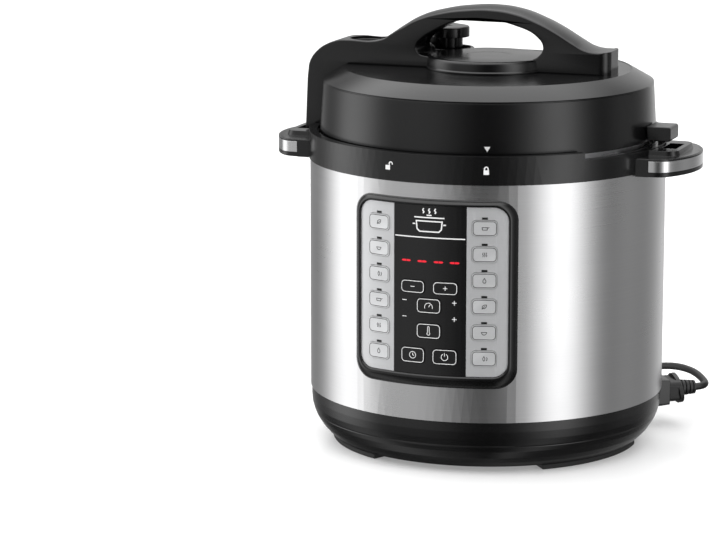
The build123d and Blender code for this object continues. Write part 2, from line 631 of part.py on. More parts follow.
INLET_POCKET_R = 119.0
INLET_FACE_R = 141.0
PIN_PLACES = ((-7.0, 0.0), (0.0, 3.0), (7.0, 0.0))
with BuildPart() as power_inlet:
    radial_block(INLET_POCKET_R - 6, INLET_FACE_R, 34, 24, taper=5, corner=4)
    radial_block(INLET_POCKET_R, INLET_FACE_R + 1, 26.6, 16.4, corner=3, mode=Mode.SUBTRACT)
    for across, up in PIN_PLACES:
        radial_block(INLET_POCKET_R - 1, INLET_POCKET_R + 15, 2.0, 4.6, across, up)
finish(power_inlet.part, "power_inlet")

GUARD_R = 149.0
RELIEF_R = 152.0
RELIEF_END_R = 165.0
GUARD_TILT = 15.0
guard_plane = spoke(INLET_ANGLE, GUARD_R, INLET_Z).rotated((GUARD_TILT, 0, 0))
with BuildPart() as cord_connector:
    radial_block(INLET_POCKET_R + 0.2, GUARD_R + 1, 26, 15.6, corner=3)
    for across, up in PIN_PLACES:
        radial_block(INLET_POCKET_R, INLET_POCKET_R + 16, 2.4, 5.0, across, up, mode=Mode.SUBTRACT)
    with BuildSketch(guard_plane) as guard:
        Ellipse(15, 10.5)
    extrude(guard.sketch, amount=3)
    with BuildSketch(spoke(INLET_ANGLE, GUARD_R, INLET_Z)) as relief:
        Circle(6.6)
    extrude(relief.sketch, amount=RELIEF_END_R - GUARD_R, taper=5)
    for index in range(4):
        with BuildSketch(spoke(INLET_ANGLE, RELIEF_R + 1.6 + index * 3.0, INLET_Z)) as groove:
            Circle(9)
            Circle(5.0 - index * 0.3, mode=Mode.SUBTRACT)
        extrude(groove.sketch, amount=1.0, mode=Mode.SUBTRACT)
finish(cord_connector.part, "cord_connector")

COIL_CENTRE = (-6.0, 205.0)
COIL_MID_R = 30.0
COIL_HALF_WIDTH = CORD_D
COIL_TALL = 2 * CORD_D
COIL_BASE = 1.0
exit_x, exit_y = polar(INLET_ANGLE, RELIEF_END_R)
CORD_ROUTE = [
    (exit_x, exit_y, INLET_Z),
    (145.5, 98.1, 26.6),
    (137.2, 117.6, 27.4),
    (123.5, 140.5, 27.6),
    (105.5, 160.5, 25.6),
    (86.5, 177.5, 20.5),
    (66.5, 192.0, 13.5),
    (46.0, 206.5, 7.2),
    (29.5, 222.0, 4.0),
    (13.0, 229.4, 3.0),
]


def route_radii(points):
    """Largest arc at each corner: 0.45 of the shorter run over the tangent of half the turn."""
    radii = []
    for before, here, after in zip(points, points[1:], points[2:]):
        run_in = Vector(*here) - Vector(*before)
        run_out = Vector(*after) - Vector(*here)
        turn = run_in.get_angle(run_out)
        radii.append(0.45 * min(run_in.length, run_out.length) / tan(radians(turn / 2)))
    return radii


CORD_RADII = route_radii(CORD_ROUTE)
print("cord arc radii", [round(radius, 1) for radius in CORD_RADII])

with BuildPart() as cord_lead:
    with BuildLine():
        lead_path = FilletPolyline(*CORD_ROUTE, radius=CORD_RADII)
    with BuildSketch(Plane(origin=lead_path @ 0, z_dir=lead_path % 0)):
        Circle(CORD_D / 2)
    sweep(path=lead_path)
finish(cord_lead.part, "cord_lead")
lead_length = lead_path.length
print("lead length", round(lead_length, 1), "volume over section times length",
      round(cord_lead.part.volume / (pi * CORD_D**2 / 4 * lead_length), 4))

with BuildPart() as cord_coil:
    with BuildSketch(Plane.XY.offset(COIL_BASE)):
        with Locations(COIL_CENTRE):
            Circle(COIL_MID_R + COIL_HALF_WIDTH)
            Circle(COIL_MID_R - COIL_HALF_WIDTH, mode=Mode.SUBTRACT)
    extrude(amount=COIL_TALL)
finish(cord_coil.part, "cord_coil")

with BuildPart() as cord_tie:
    with BuildSketch(Plane.XZ.offset(-COIL_CENTRE[1] - 3)) as tie_outline:
        with Locations((COIL_CENTRE[0] + COIL_MID_R, COIL_BASE + COIL_TALL / 2)):
            RectangleRounded(2 * COIL_HALF_WIDTH + 2.4, COIL_TALL + 2 * COIL_BASE, 1.5)
            Rectangle(2 * COIL_HALF_WIDTH + 0.4, COIL_TALL, mode=Mode.SUBTRACT)
    extrude(amount=6)
finish(cord_tie.part, "cord_tie")

# Wall plug lying on the floor with its axis along X, its strain relief against the coil.
PLUG_SIZE = (27.0, 25.0)
PLUG_Y = COIL_CENTRE[1] + COIL_MID_R
PLUG_Z = PLUG_SIZE[1] / 2
PLUG_RELIEF_X = -23.0
PLUG_BACK_X = -41.0
PLUG_FACE_X = -72.0


def plug_plane(x):
    """Plane across the plug that faces its blades: local x runs along -Y and local y upward."""
    return Plane(origin=(x, PLUG_Y, PLUG_Z), x_dir=(0, -1, 0), z_dir=(-1, 0, 0))


with BuildPart() as wall_plug:
    with BuildSketch(plug_plane(PLUG_BACK_X)):
        RectangleRounded(*PLUG_SIZE, 6)
    extrude(amount=PLUG_BACK_X - PLUG_FACE_X)
    fillet(wall_plug.edges().group_by(Axis.X)[-1], 3)
    with BuildSketch(plug_plane(PLUG_RELIEF_X)) as relief_end:
        Circle(4.2)
    extrude(relief_end.sketch, amount=PLUG_RELIEF_X - PLUG_BACK_X + 2, taper=-5)
    for across in (-6.35, 6.35):
        with BuildSketch(plug_plane(PLUG_FACE_X)) as blade:
            with Locations((across, -4)):
                Rectangle(1.5, 6.4)
        extrude(blade.sketch, amount=17)
    with BuildSketch(plug_plane(PLUG_FACE_X)) as earth_pin:
        with Locations((0, 7.2)):
            Circle(2.4)
    extrude(earth_pin.sketch, amount=20)
finish(wall_plug.part, "wall_plug")
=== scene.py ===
# %% [markdown]
# # Electric pressure cooker
# This file dresses a finished engineering model of a countertop pressure cooker. The model gives every part
# its place and its real size in metres. The cells below add the visible skins, the printed marks, the mains
# lead and the finishes, one step at a time, and they print what they made.

# %% Load the frame
import bpy
import bmesh
import json
import math
from mathutils import Matrix, Vector


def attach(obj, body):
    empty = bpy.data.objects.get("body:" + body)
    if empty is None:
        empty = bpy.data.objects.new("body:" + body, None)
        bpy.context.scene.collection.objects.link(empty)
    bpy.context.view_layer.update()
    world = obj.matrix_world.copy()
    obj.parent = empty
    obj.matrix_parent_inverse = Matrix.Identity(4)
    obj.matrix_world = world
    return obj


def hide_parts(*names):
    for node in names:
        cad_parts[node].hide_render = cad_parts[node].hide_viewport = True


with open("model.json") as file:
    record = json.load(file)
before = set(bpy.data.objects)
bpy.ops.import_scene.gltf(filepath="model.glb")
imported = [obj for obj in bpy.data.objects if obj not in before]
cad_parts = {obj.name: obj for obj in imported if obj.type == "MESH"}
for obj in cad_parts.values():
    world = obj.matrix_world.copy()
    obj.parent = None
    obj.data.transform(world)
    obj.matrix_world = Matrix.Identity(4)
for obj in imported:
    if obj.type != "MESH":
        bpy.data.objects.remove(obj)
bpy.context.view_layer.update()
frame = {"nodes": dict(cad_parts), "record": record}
MM = 0.001

# %% [markdown]
# ## Camera
# The camera stands a little to the right of the control panel and looks slightly down, from over two metres
# away, so the round body shows almost no perspective. A long lens keeps it large in the frame.

# %% Camera
CAMERA_PLACE = Vector((0.7173, -2.2341, 0.5902))
VIEW_TURN = math.radians(17.8)
VIEW_YAW = -0.04118
VIEW_PITCH = 0.19793
LENS_MM = 161.97

side = Vector((math.cos(VIEW_TURN), math.sin(VIEW_TURN), 0))
ahead = Vector((-math.sin(VIEW_TURN), math.cos(VIEW_TURN), 0))
look = (side * math.sin(VIEW_YAW) + ahead * math.cos(VIEW_YAW)) * math.cos(VIEW_PITCH)
look.z = -math.sin(VIEW_PITCH)
camera_data = bpy.data.cameras.new("camera")
camera_data.lens = LENS_MM
camera_data.sensor_width = 36.0
camera = bpy.data.objects.new("camera", camera_data)
camera.location = CAMERA_PLACE
camera.rotation_mode = "QUATERNION"
camera.rotation_quaternion = look.to_track_quat("-Z", "Y")
bpy.context.scene.collection.objects.link(camera)
bpy.context.scene.camera = camera
print("camera", [round(v, 3) for v in camera.location], "looks along", [round(v, 3) for v in look])

# %% [markdown]
# ## Shared patterns for the finishes
# Real surfaces are never one flat colour. Three small node groups carry the patterns that several finishes
# share: the pebbly grain of a steel mould, the fine lines of brushed metal, and the soft smudges and rubbed
# edges of use. A group gives out numbers only, and each material decides what they change.

# %% A helper for node groups
def new_group(name, inputs, outputs):
    """Shader node group with named number inputs (and their defaults) and named outputs."""
    group = bpy.data.node_groups.new(name, "ShaderNodeTree")
    for label, value in inputs.items():
        socket = group.interface.new_socket(label, in_out="INPUT", socket_type="NodeSocketFloat")
        socket.default_value = value
    for label in outputs:
        group.interface.new_socket(label, in_out="OUTPUT", socket_type="NodeSocketFloat")
    return group, group.nodes.new("NodeGroupInput"), group.nodes.new("NodeGroupOutput")


def math_node(tree, operation, first, second):
    """Math node whose two values are numbers or sockets."""
    node = tree.nodes.new("ShaderNodeMath")
    node.operation = operation
    for socket, value in zip(node.inputs, (first, second)):
        if isinstance(value, (int, float)):
            socket.default_value = value
        else:
            tree.links.new(value, socket)
    return node.outputs[0]


# %% Moulded grain
def make_grain_group():
    """Fine pebbled texture in object space: a height for bump and a value that wanders about one half."""
    group, inside, outside = new_group("moulded_grain", {"Grains per metre": 900.0}, ("Height", "Wander"))
    place = group.nodes.new("ShaderNodeTexCoord")
    fine = group.nodes.new("ShaderNodeTexNoise")
    fine.inputs["Detail"].default_value = 3.0
    soft = group.nodes.new("ShaderNodeTexNoise")
    soft.inputs["Scale"].default_value = 35.0
    group.links.new(place.outputs["Object"], fine.inputs["Vector"])
    group.links.new(place.outputs["Object"], soft.inputs["Vector"])
    group.links.new(inside.outputs[0], fine.inputs["Scale"])
    group.links.new(fine.outputs[0], outside.inputs["Height"])
    group.links.new(soft.outputs[0], outside.inputs["Wander"])
    return group


grain_group = make_grain_group()
print("group", grain_group.name, "outputs", [item.name for item in grain_group.interface.items_tree])

# %% Brushed lines
def make_brush_group():
    """Long thin scratches level round the body: noise that is tight in height and slow along the turn."""
    group, inside, outside = new_group("brushed_lines", {"Lines per metre": 1500.0, "Run": 14.0},
                                       ("Height", "Streak"))
    place = group.nodes.new("ShaderNodeTexCoord")
    split = group.nodes.new("ShaderNodeSeparateXYZ")
    joined = group.nodes.new("ShaderNodeCombineXYZ")
    lines = group.nodes.new("ShaderNodeTexNoise")
    lines.inputs["Scale"].default_value = 1.0
    lines.inputs["Detail"].default_value = 2.0
    group.links.new(place.outputs["Object"], split.inputs[0])
    for axis in (0, 1):
        group.links.new(math_node(group, "MULTIPLY", split.outputs[axis], inside.outputs["Run"]),
                        joined.inputs[axis])
    group.links.new(math_node(group, "MULTIPLY", split.outputs[2], inside.outputs["Lines per metre"]),
                    joined.inputs[2])
    group.links.new(joined.outputs[0], lines.inputs["Vector"])
    group.links.new(lines.outputs[0], outside.inputs["Height"])
    group.links.new(lines.outputs[0], outside.inputs["Streak"])
    return group


brush_group = make_brush_group()
print("group", brush_group.name)

# %% Marks of use
def make_use_group():
    """Soft smudges all over and a mask of rubbed edges, found from how sharply the surface bends."""
    group, inside, outside = new_group("marks_of_use", {"Smudges per metre": 14.0, "Edge start": 0.56},
                                       ("Smudge", "Edge"))
    place = group.nodes.new("ShaderNodeTexCoord")
    smudge = group.nodes.new("ShaderNodeTexNoise")
    smudge.inputs["Detail"].default_value = 4.0
    bend = group.nodes.new("ShaderNodeNewGeometry")
    group.links.new(place.outputs["Object"], smudge.inputs["Vector"])
    group.links.new(inside.outputs[0], smudge.inputs["Scale"])
    above = math_node(group, "SUBTRACT", bend.outputs["Pointiness"], inside.outputs[1])
    steep = math_node(group, "MULTIPLY", above, 8.0)
    capped = math_node(group, "MINIMUM", math_node(group, "MAXIMUM", steep, 0.0), 1.0)
    group.links.new(smudge.outputs[0], outside.inputs["Smudge"])
    group.links.new(capped, outside.inputs["Edge"])
    return group


use_group = make_use_group()
print("group", use_group.name)

# %% [markdown]
# ## The finishes
# One function lays a finish out the same way each time: base colour with a slight wander and lighter rubbed
# edges, roughness that follows the pattern, and a small bump. Plastics take the moulded grain and metals
# the brushed lines. Values that are the same everywhere stay on the shader's own sockets.

# %% A finish from its numbers
def finish(name, colour, roughness, grain=0.0, brushed=0.0, metallic=0.0, wander=0.12, rough_wander=0.08,
           wear=0.25,
           scale=None, coat=0.0, specular=0.5):
    """Material with a pattern, smudges and rubbed edges. Grain and brushed are bump heights in metres."""
    material = bpy.data.materials.new(name)
    material.use_nodes = True
    tree = material.node_tree
    shader = tree.nodes["Principled BSDF"]
    pattern = tree.nodes.new("ShaderNodeGroup")
    pattern.node_tree = brush_group if brushed else grain_group
    if scale:
        pattern.inputs[0].default_value = scale
    use = tree.nodes.new("ShaderNodeGroup")
    use.node_tree = use_group
    tone = tree.nodes.new("ShaderNodeMix")
    tone.data_type = "RGBA"
    tone.inputs[6].default_value = (*[channel * (1 - wander) for channel in colour], 1)
    tone.inputs[7].default_value = (*[min(1.0, channel * (1 + wander)) for channel in colour], 1)
    tree.links.new(pattern.outputs[1], tone.inputs[0])
    worn = tree.nodes.new("ShaderNodeMix")
    worn.data_type = "RGBA"
    worn.inputs[7].default_value = (*[min(1.0, channel * (1 + wear) + 0.004 * wear) for channel in colour],
                                    1)
    tree.links.new(use.outputs["Edge"], worn.inputs[0])
    tree.links.new(tone.outputs[2], worn.inputs[6])
    tree.links.new(worn.outputs[2], shader.inputs["Base Color"])
    shift = math_node(tree, "MULTIPLY", math_node(tree, "SUBTRACT", use.outputs["Smudge"], 0.5),
                      rough_wander * 2)
    streak = math_node(tree, "MULTIPLY", math_node(tree, "SUBTRACT", pattern.outputs[1], 0.5), rough_wander)
    rough = math_node(tree, "ADD", math_node(tree, "ADD", shift, streak), roughness)
    tree.links.new(rough, shader.inputs["Roughness"])
    bump = tree.nodes.new("ShaderNodeBump")
    bump.inputs["Strength"].default_value = 1.0
    bump.inputs["Distance"].default_value = max(grain, brushed, 0.000002)
    tree.links.new(pattern.outputs[0], bump.inputs["Height"])
    tree.links.new(bump.outputs[0], shader.inputs["Normal"])
    shader.inputs["Metallic"].default_value = metallic
    shader.inputs["Coat Weight"].default_value = coat
    shader.inputs["Coat Roughness"].default_value = 0.08
    shader.inputs["Specular IOR Level"].default_value = specular
    return material


# %% Plastics and rubber
satin_black = finish("satin_black", (0.0028, 0.0028, 0.003), 0.22, grain=0.00001)
lid_black = finish("lid_black", (0.0022, 0.0022, 0.0024), 0.21, grain=0.000008)
handle_black = finish("handle_black", (0.002, 0.002, 0.0022), 0.22, grain=0.000006)
bezel_black = finish("bezel_black", (0.0025, 0.0025, 0.0027), 0.2, grain=0.000004)
window_gloss = finish("window_gloss", (0.0016, 0.0016, 0.0018), 0.14, grain=0.000001, rough_wander=0.03,
                      wear=0)
dark_key = finish("dark_key", (0.0025, 0.0025, 0.0027), 0.18, grain=0.000002, rough_wander=0.04)
foot_rubber = finish("foot_rubber", (0.018, 0.018, 0.018), 0.7, grain=0.00003)
seal_silicone = finish("seal_silicone", (0.72, 0.71, 0.68), 0.45, grain=0.00001, wander=0.04)
cord_black = finish("cord_black", (0.004, 0.004, 0.0042), 0.4, grain=0.00001)
plug_black = finish("plug_black", (0.005, 0.005, 0.0052), 0.4, grain=0.00002)
board_green = finish("board_green", (0.02, 0.11, 0.05), 0.4, grain=0.00001)
display_dark = finish("display_dark", (0.02, 0.004, 0.004), 0.15, grain=0.000002)
print("plastics and rubber ready")

# %% Metals
shell_steel = finish("shell_steel", (0.63, 0.63, 0.635), 0.29, brushed=0.0000022, metallic=1, wander=0.05,
                     rough_wander=0.05, wear=0.05)
trim_steel = finish("trim_steel", (0.66, 0.66, 0.665), 0.24, brushed=0.000002, metallic=1, wander=0.05,
                    wear=0.05)
pot_steel = finish("pot_steel", (0.68, 0.68, 0.69), 0.2, brushed=0.0000012, metallic=1, wander=0.04,
                   wear=0.05)
inner_steel = finish("inner_steel", (0.58, 0.58, 0.59), 0.3, brushed=0.000002, metallic=1, wander=0.05)
wire_steel = finish("wire_steel", (0.72, 0.72, 0.73), 0.16, brushed=0.000001, metallic=1, wander=0.04)
cast_alloy = finish("cast_alloy", (0.5, 0.5, 0.51), 0.45, grain=0.00003, metallic=1)
valve_steel = finish("valve_steel", (0.55, 0.55, 0.56), 0.25, brushed=0.000002, metallic=1)
panel_silver = finish("panel_silver", (0.62, 0.625, 0.635), 0.38, brushed=0.000001, metallic=0.55,
                      wander=0.04,
                      rough_wander=0.05, wear=0.05, scale=2600)
silver_key = finish("silver_key", (0.68, 0.685, 0.695), 0.34, brushed=0.000001, metallic=0.5, wander=0.03,
                    rough_wander=0.04, wear=0.1, scale=2600)
print("metals ready")

# %% [markdown]
# ## Clear plastic, ink and glowing bars
# The condensation cup is clear: a see-through coat over a faintly grey body, with the same grain as other
# plastics so that its gloss isn't perfect. Printed marks are a thin layer of white or black ink, and the
# display's four bars glow red.

# %% Clear cup, inks and display bars
cup_clear = finish("cup_clear", (0.82, 0.84, 0.85), 0.12, grain=0.000003, wander=0.03, wear=0)
cup_clear.node_tree.nodes["Principled BSDF"].inputs["Transmission Weight"].default_value = 0.85
cup_clear.node_tree.nodes["Principled BSDF"].inputs["IOR"].default_value = 1.49
ink_white = finish("ink_white", (0.78, 0.78, 0.78), 0.45, grain=0.000002, wander=0.05, wear=0)
ink_black = finish("ink_black", (0.004, 0.004, 0.004), 0.4, grain=0.000002, wander=0.1, wear=0)
bar_red = finish("bar_red", (0.26, 0.004, 0.01), 0.3, grain=0.000002, wander=0.3, wear=0)
bar_red.node_tree.nodes["Principled BSDF"].inputs["Emission Color"].default_value = (0.9, 0.01, 0.03, 1)
bar_red.node_tree.nodes["Principled BSDF"].inputs["Emission Strength"].default_value = 0.8
print("clear plastic and inks ready")

# %% [markdown]
# ## Making pieces
# Every skin is built from a section or an outline, never from a ready-made primitive. Three ways cover
# almost the whole cooker: turning a section about an upright axis, as on a lathe; taking a copy of a CAD
# node, welding its loose triangles, and rounding its edges; and drawing an outline that is later thickened.
# One function finishes a piece the same way each time: smooth shading with crisp edges, its finish, its
# body and the CAD nodes it replaces.

# %% Finishing a piece
made = []


def set_piece(name, mesh, finishes, body, replaced=(), crisp=30.0):
    """Object from a mesh in metres, with its finishes, riding on a body and standing for CAD nodes."""
    piece = bpy.data.objects.new(name, mesh)
    bpy.context.scene.collection.objects.link(piece)
    mesh.polygons.foreach_set("use_smooth", [True] * len(mesh.polygons))
    mesh.set_sharp_from_angle(angle=math.radians(crisp))
    mesh.materials.clear()
    for material in finishes:
        mesh.materials.append(material)
    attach(piece, body)
    if replaced:
        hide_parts(*replaced)
    made.append(name)
    return piece


def mesh_of(name, vertices, faces):
    """Mesh from points in millimetres, with its normals made to face outward."""
    work = bmesh.new()
    points = [work.verts.new(Vector(point) * MM) for point in vertices]
    for face in faces:
        work.faces.new([points[index] for index in face])
    bmesh.ops.remove_doubles(work, verts=work.verts, dist=0.001 * MM)
    bmesh.ops.recalc_face_normals(work, faces=work.faces)
    mesh = bpy.data.meshes.new(name)
    work.to_mesh(mesh)
    work.free()
    return mesh


def add_bevel(piece, width, rounds=2, limit=35.0):
    """Rounds the crisp edges of a piece by a width in millimetres."""
    bevel = piece.modifiers.new("soft_edges", "BEVEL")
    bevel.width = width * MM
    bevel.segments = rounds
    bevel.limit_method = "ANGLE"
    bevel.angle_limit = math.radians(limit)
    bevel.harden_normals = True
    return piece


# %% Turning a section
def rounded(points, radii, steps=4):
    """Closed outline whose corners are swapped for arcs: one radius for each corner, in the same units."""
    result = []
    for index, (here, radius) in enumerate(zip(points, radii)):
        here = Vector(here)
        to_before = Vector(points[index - 1]) - here
        to_after = Vector(points[(index + 1) % len(points)]) - here
        if radius <= 0:
            result.append(tuple(here))
            continue
        half = to_before.angle(to_after) / 2
        reach = min(radius / math.tan(half), to_before.length * 0.49, to_after.length * 0.49)
        start, end = here + to_before.normalized() * reach, here + to_after.normalized() * reach
        for step in range(steps + 1):
            share = step / steps
            result.append(tuple(start * (1 - share) ** 2 + here * 2 * share * (1 - share) + end * share**2))
    return result


def turned(name, outline, centre=(0.0, 0.0), segments=160):
    """Closed section of radius and height pairs, turned once round an upright axis."""
    count = len(outline)
    vertices, faces = [], []
    for turn in range(segments):
        angle = 2 * math.pi * turn / segments
        for radius, height in outline:
            vertices.append((centre[0] + radius * math.cos(angle), centre[1] + radius * math.sin(angle),
                             height))
    for turn in range(segments):
        here, after = turn * count, ((turn + 1) % segments) * count
        for index in range(count):
            step = (index + 1) % count
            faces.append((here + index, after + index, after + step, here + step))
    work = bmesh.new()
    points = [work.verts.new(Vector(point) * MM) for point in vertices]
    for face in faces:
        work.faces.new([points[index] for index in face])
    bmesh.ops.remove_doubles(work, verts=work.verts, dist=0.001 * MM)
    bmesh.ops.dissolve_degenerate(work, edges=work.edges, dist=0.0005 * MM)
    bmesh.ops.recalc_face_normals(work, faces=work.faces)
    mesh = bpy.data.meshes.new(name)
    work.to_mesh(mesh)
    work.free()
    return mesh


# %% Welding a CAD node
def welded(node, name):
    """Copy of a CAD node's mesh with its loose triangles joined and its flat faces merged."""
    work = bmesh.new()
    work.from_mesh(frame["nodes"][node].data)
    bmesh.ops.remove_doubles(work, verts=work.verts, dist=0.004 * MM)
    bmesh.ops.dissolve_limit(work, angle_limit=math.radians(0.6), verts=work.verts, edges=work.edges)
    mesh = bpy.data.meshes.new(name)
    work.to_mesh(mesh)
    work.free()
    return mesh


body_of_node = {node: body for body, nodes in frame["record"]["behaviour"]["bodies"].items()
                for node in nodes}


def dressed(node, material, edge=0.0, rounds=2, crisp=30.0):
    """Skin for a CAD node whose shape is right: the same shape with rounded edges and smooth shading."""
    name = node + "_skin"
    piece = set_piece(name, welded(node, name), [material], body_of_node[node], (node,),
                      crisp)
    if edge:
        add_bevel(piece, edge, rounds)
    return piece


# %% [markdown]
# ## The mains lead
# The lead leaves the connector at the back right, droops to the table and curls behind the body, where its
# spare length is wound in a tied coil beside the plug. It is one smooth NURBS line: a few listed
# points for the visible run and a loop that adds the coil's turns, then a short way out to the plug.

# %% The lead's route
CORD_D = 5.5
LEAD_POINTS = [
    (136.79, 92.27, 26.5),
    (145.5, 98.1, 26.6),
    (137.2, 117.6, 27.4),
    (123.5, 140.5, 27.6),
    (105.5, 160.5, 25.6),
    (86.5, 177.5, 20.5),
    (66.5, 192.0, 13.5),
    (46.0, 206.5, 7.2),
    (29.5, 222.0, 4.0),
    (14.2, 231.0, 3.75),
]
COIL_CENTRE = (-6.0, 205.0)
OUTER_TURN_R = 32.6
INNER_TURN_R = 27.3
LOW = 3.75
HIGH = 9.25
TURN_POINTS = 14
PLUG_EXIT = [(-10.0, 237.3, 9.9), (-17.0, 236.2, 11.5), (-23.0, 235.0, 12.5)]


def eased(step, start, end):
    """Share from 0 to 1 as a turn's step passes from start to end."""
    return min(1.0, max(0.0, (step - start) / (end - start)))


def coil_points():
    """Four turns: outside low, inside low, inside high, outside high, each kept clear of the last."""
    first = math.atan2(LEAD_POINTS[-1][1] - COIL_CENTRE[1], LEAD_POINTS[-1][0] - COIL_CENTRE[0])
    gap = OUTER_TURN_R - INNER_TURN_R
    points = []
    for count in range(1, 4 * TURN_POINTS + 2):
        turn, step = divmod(count - 1, TURN_POINTS)
        radius = [OUTER_TURN_R - gap * eased(step, 9, 12), INNER_TURN_R,
                  INNER_TURN_R + gap * eased(step, 3, 7),
                  OUTER_TURN_R, OUTER_TURN_R][turn]
        height = [LOW, LOW + (HIGH - LOW) * eased(step, 6, 10), HIGH, HIGH, HIGH][turn]
        angle = first + 2 * math.pi * count / TURN_POINTS
        points.append((COIL_CENTRE[0] + radius * math.cos(angle), COIL_CENTRE[1] + radius * math.sin(angle),
                       height))
    return points


cord_points = LEAD_POINTS + coil_points() + PLUG_EXIT
print(len(cord_points), "points on the lead's line; last", [round(v, 1) for v in cord_points[-1]])

# %% The lead itself
def cord_line(points, name):
    """Open NURBS line in metres through control points in millimetres."""
    curve = bpy.data.curves.new(name, "CURVE")
    curve.dimensions = "3D"
    spline = curve.splines.new("NURBS")
    spline.points.add(len(points) - 1)
    for target, point in zip(spline.points, points):
        target.co = (point[0] * MM, point[1] * MM, point[2] * MM, 1)
    spline.order_u = 3
    spline.use_endpoint_u = True
    spline.resolution_u = 8
    return curve


lead_curve = cord_line(cord_points, "mains_lead")
plain = bpy.data.objects.new("lead_measure", lead_curve.copy())
bpy.context.scene.collection.objects.link(plain)
line = bpy.data.meshes.new_from_object(plain)
bpy.data.objects.remove(plain)
lead_curve.bevel_depth = CORD_D / 2 * MM
lead_curve.bevel_resolution = 5
lead_curve.use_fill_caps = True
lead = bpy.data.objects.new("mains_lead", lead_curve)
bpy.context.scene.collection.objects.link(lead)
lead_curve.materials.append(cord_black)
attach(lead, "housing")
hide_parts("cord_lead", "cord_coil")

# %% Connector, tie and plug
METAL_FROM_X = -72.3
dressed("cord_connector", plug_black, 0.7, 3)
dressed("cord_tie", cord_black, 0.4)
plug = dressed("wall_plug", plug_black, 0.5)
plug.data.materials.append(wire_steel)
for polygon in plug.data.polygons:
    if polygon.center.x < METAL_FROM_X * MM:
        polygon.material_index = 1

# %% [markdown]
# ## Base, shell and collar
# The lower bowl and the steel wrap are round, so each is a turned section with a small radius at every
# corner: real moulded and rolled parts have no knife edges, and the small radii are what catch the light.
# The shell keeps the CAD's cut-out behind the panel, so it is the CAD shape welded and softened.

# %% Base bowl
BOWL = [(112.6, 4.0), (114.9, 4.0), (115.8, 5.0), (118.9, 7.8), (122.5, 11.8), (126.2, 17.5), (127.7, 20.9),
        (127.6, 21.5), (128.3, 22.4), (129.6, 27.0), (130.15, 33.0), (130.15, 39.9), (129.6, 41.4),
        (127.5, 41.4),
        (127.5, 33.0), (123.4, 18.6), (114.2, 7.6)]
BOWL_RADII = [0, 0.4, 0.8, 4, 6, 4, 0.3, 0.2, 0.4, 4, 5, 0.6, 0, 0, 0, 0, 0]
set_piece("base_bowl_skin", turned("base_bowl_skin", rounded(BOWL, BOWL_RADII)), [satin_black], "housing",
          ("base_bowl",))
dressed("bottom_cover", satin_black, 0.3)
dressed("feet", foot_rubber, 0.8)
dressed("bottom_screws", wire_steel, 0.3)
print("base done:", made[-4:])

# %% Steel wrap, collar and side handles
dressed("steel_shell", shell_steel, crisp=25)
dressed("top_collar", satin_black, 0.9, 3, crisp=25)
for side_name in ("right", "left"):
    dressed(f"{side_name}_handle", satin_black, 1.1, 3)
    dressed(f"{side_name}_handle_trim", trim_steel, 0.2)
print("shell and handles done:", made[-6:])

# %% [markdown]
# ## Control panel
# The panel is a black frame with a sloping rim, two silver strips and a gloss black window, all bent round
# the body. Flat shapes drawn as width and height are laid on the curve by one rule: a point keeps its width
# and height and takes whatever depth puts it at its radius. The frame's rim is made of loops between its
# outer and inner outlines, each at its own radius, so the slope catches a highlight.

# %% Laying flat shapes on the body
def on_body(x, z, radius):
    """Point of the body's front at a width and a height, in millimetres."""
    return (x, -math.sqrt(radius * radius - x * x), z)


def rounded_box(low_x, high_x, low_z, high_z, corner, corner_steps=8, side_steps=24):
    """Outline of a rounded rectangle with the same number of points whatever its size."""
    points = []
    centres = [(high_x - corner, high_z - corner, 0), (low_x + corner, high_z - corner, 90),
               (low_x + corner, low_z + corner, 180), (high_x - corner, low_z + corner, 270)]
    for index, (x, z, start) in enumerate(centres):
        arc = [(x + corner * math.cos(math.radians(start + 90 * step / corner_steps)),
                z + corner * math.sin(math.radians(start + 90 * step / corner_steps)))
               for step in range(corner_steps + 1)]
        points += arc
        next_x, next_z, next_start = centres[(index + 1) % 4]
        goal = (next_x + corner * math.cos(math.radians(next_start)),
                next_z + corner * math.sin(math.radians(next_start)))
        for step in range(1, side_steps):
            share = step / side_steps
            points.append((arc[-1][0] * (1 - share) + goal[0] * share,
                           arc[-1][1] * (1 - share) + goal[1] * share))
    return points


# %% Panel frame
FRAME_OUT = rounded_box(-60.5, 60.5, 65.0, 200.3, 14)
FRAME_IN = rounded_box(-55.1, 55.1, 74.15, 195.85, 10)
RIM_LOOPS = [(0.0, 131.05), (0.05, 131.9), (0.3, 133.3), (0.52, 134.4), (0.66, 134.85), (0.78, 134.95),
             (0.88, 134.7),
             (0.96, 134.1), (1.0, 133.4), (1.0, 132.3), (0.8, 131.05)]


def rim_mesh(name, outside, inside, loops):
    """Closed ring of loops between two outlines; each loop has its share of the way in and its radius."""
    count = len(outside)
    vertices, faces = [], []
    for share, radius in loops:
        for (x_out, z_out), (x_in, z_in) in zip(outside, inside):
            vertices.append(on_body(x_out * (1 - share) + x_in * share, z_out * (1 - share) + z_in * share,
                                    radius))
    for row in range(len(loops)):
        row_next = (row + 1) % len(loops)
        for index in range(count):
            after = (index + 1) % count
            faces.append((row * count + index, row * count + after, row_next * count + after,
                          row_next * count + index))
    return mesh_of(name, vertices, faces)


set_piece("panel_frame", rim_mesh("panel_frame", FRAME_OUT, FRAME_IN, RIM_LOOPS), [bezel_black], "housing",
          ("panel_bezel",), 50)
dressed("panel_plate_left", panel_silver, 0.15)
dressed("panel_plate_right", panel_silver, 0.15)
dressed("panel_window", window_gloss, 0.15)
for node in frame["nodes"]:
    if node.startswith("key_"):
        dressed(node, silver_key, 0.3, 3)
    elif node.endswith("_key"):
        dressed(node, dark_key, 0.3, 3)
print("panel and", sum(name.endswith("key_skin") or name.startswith("key_") for name in made), "keys done")

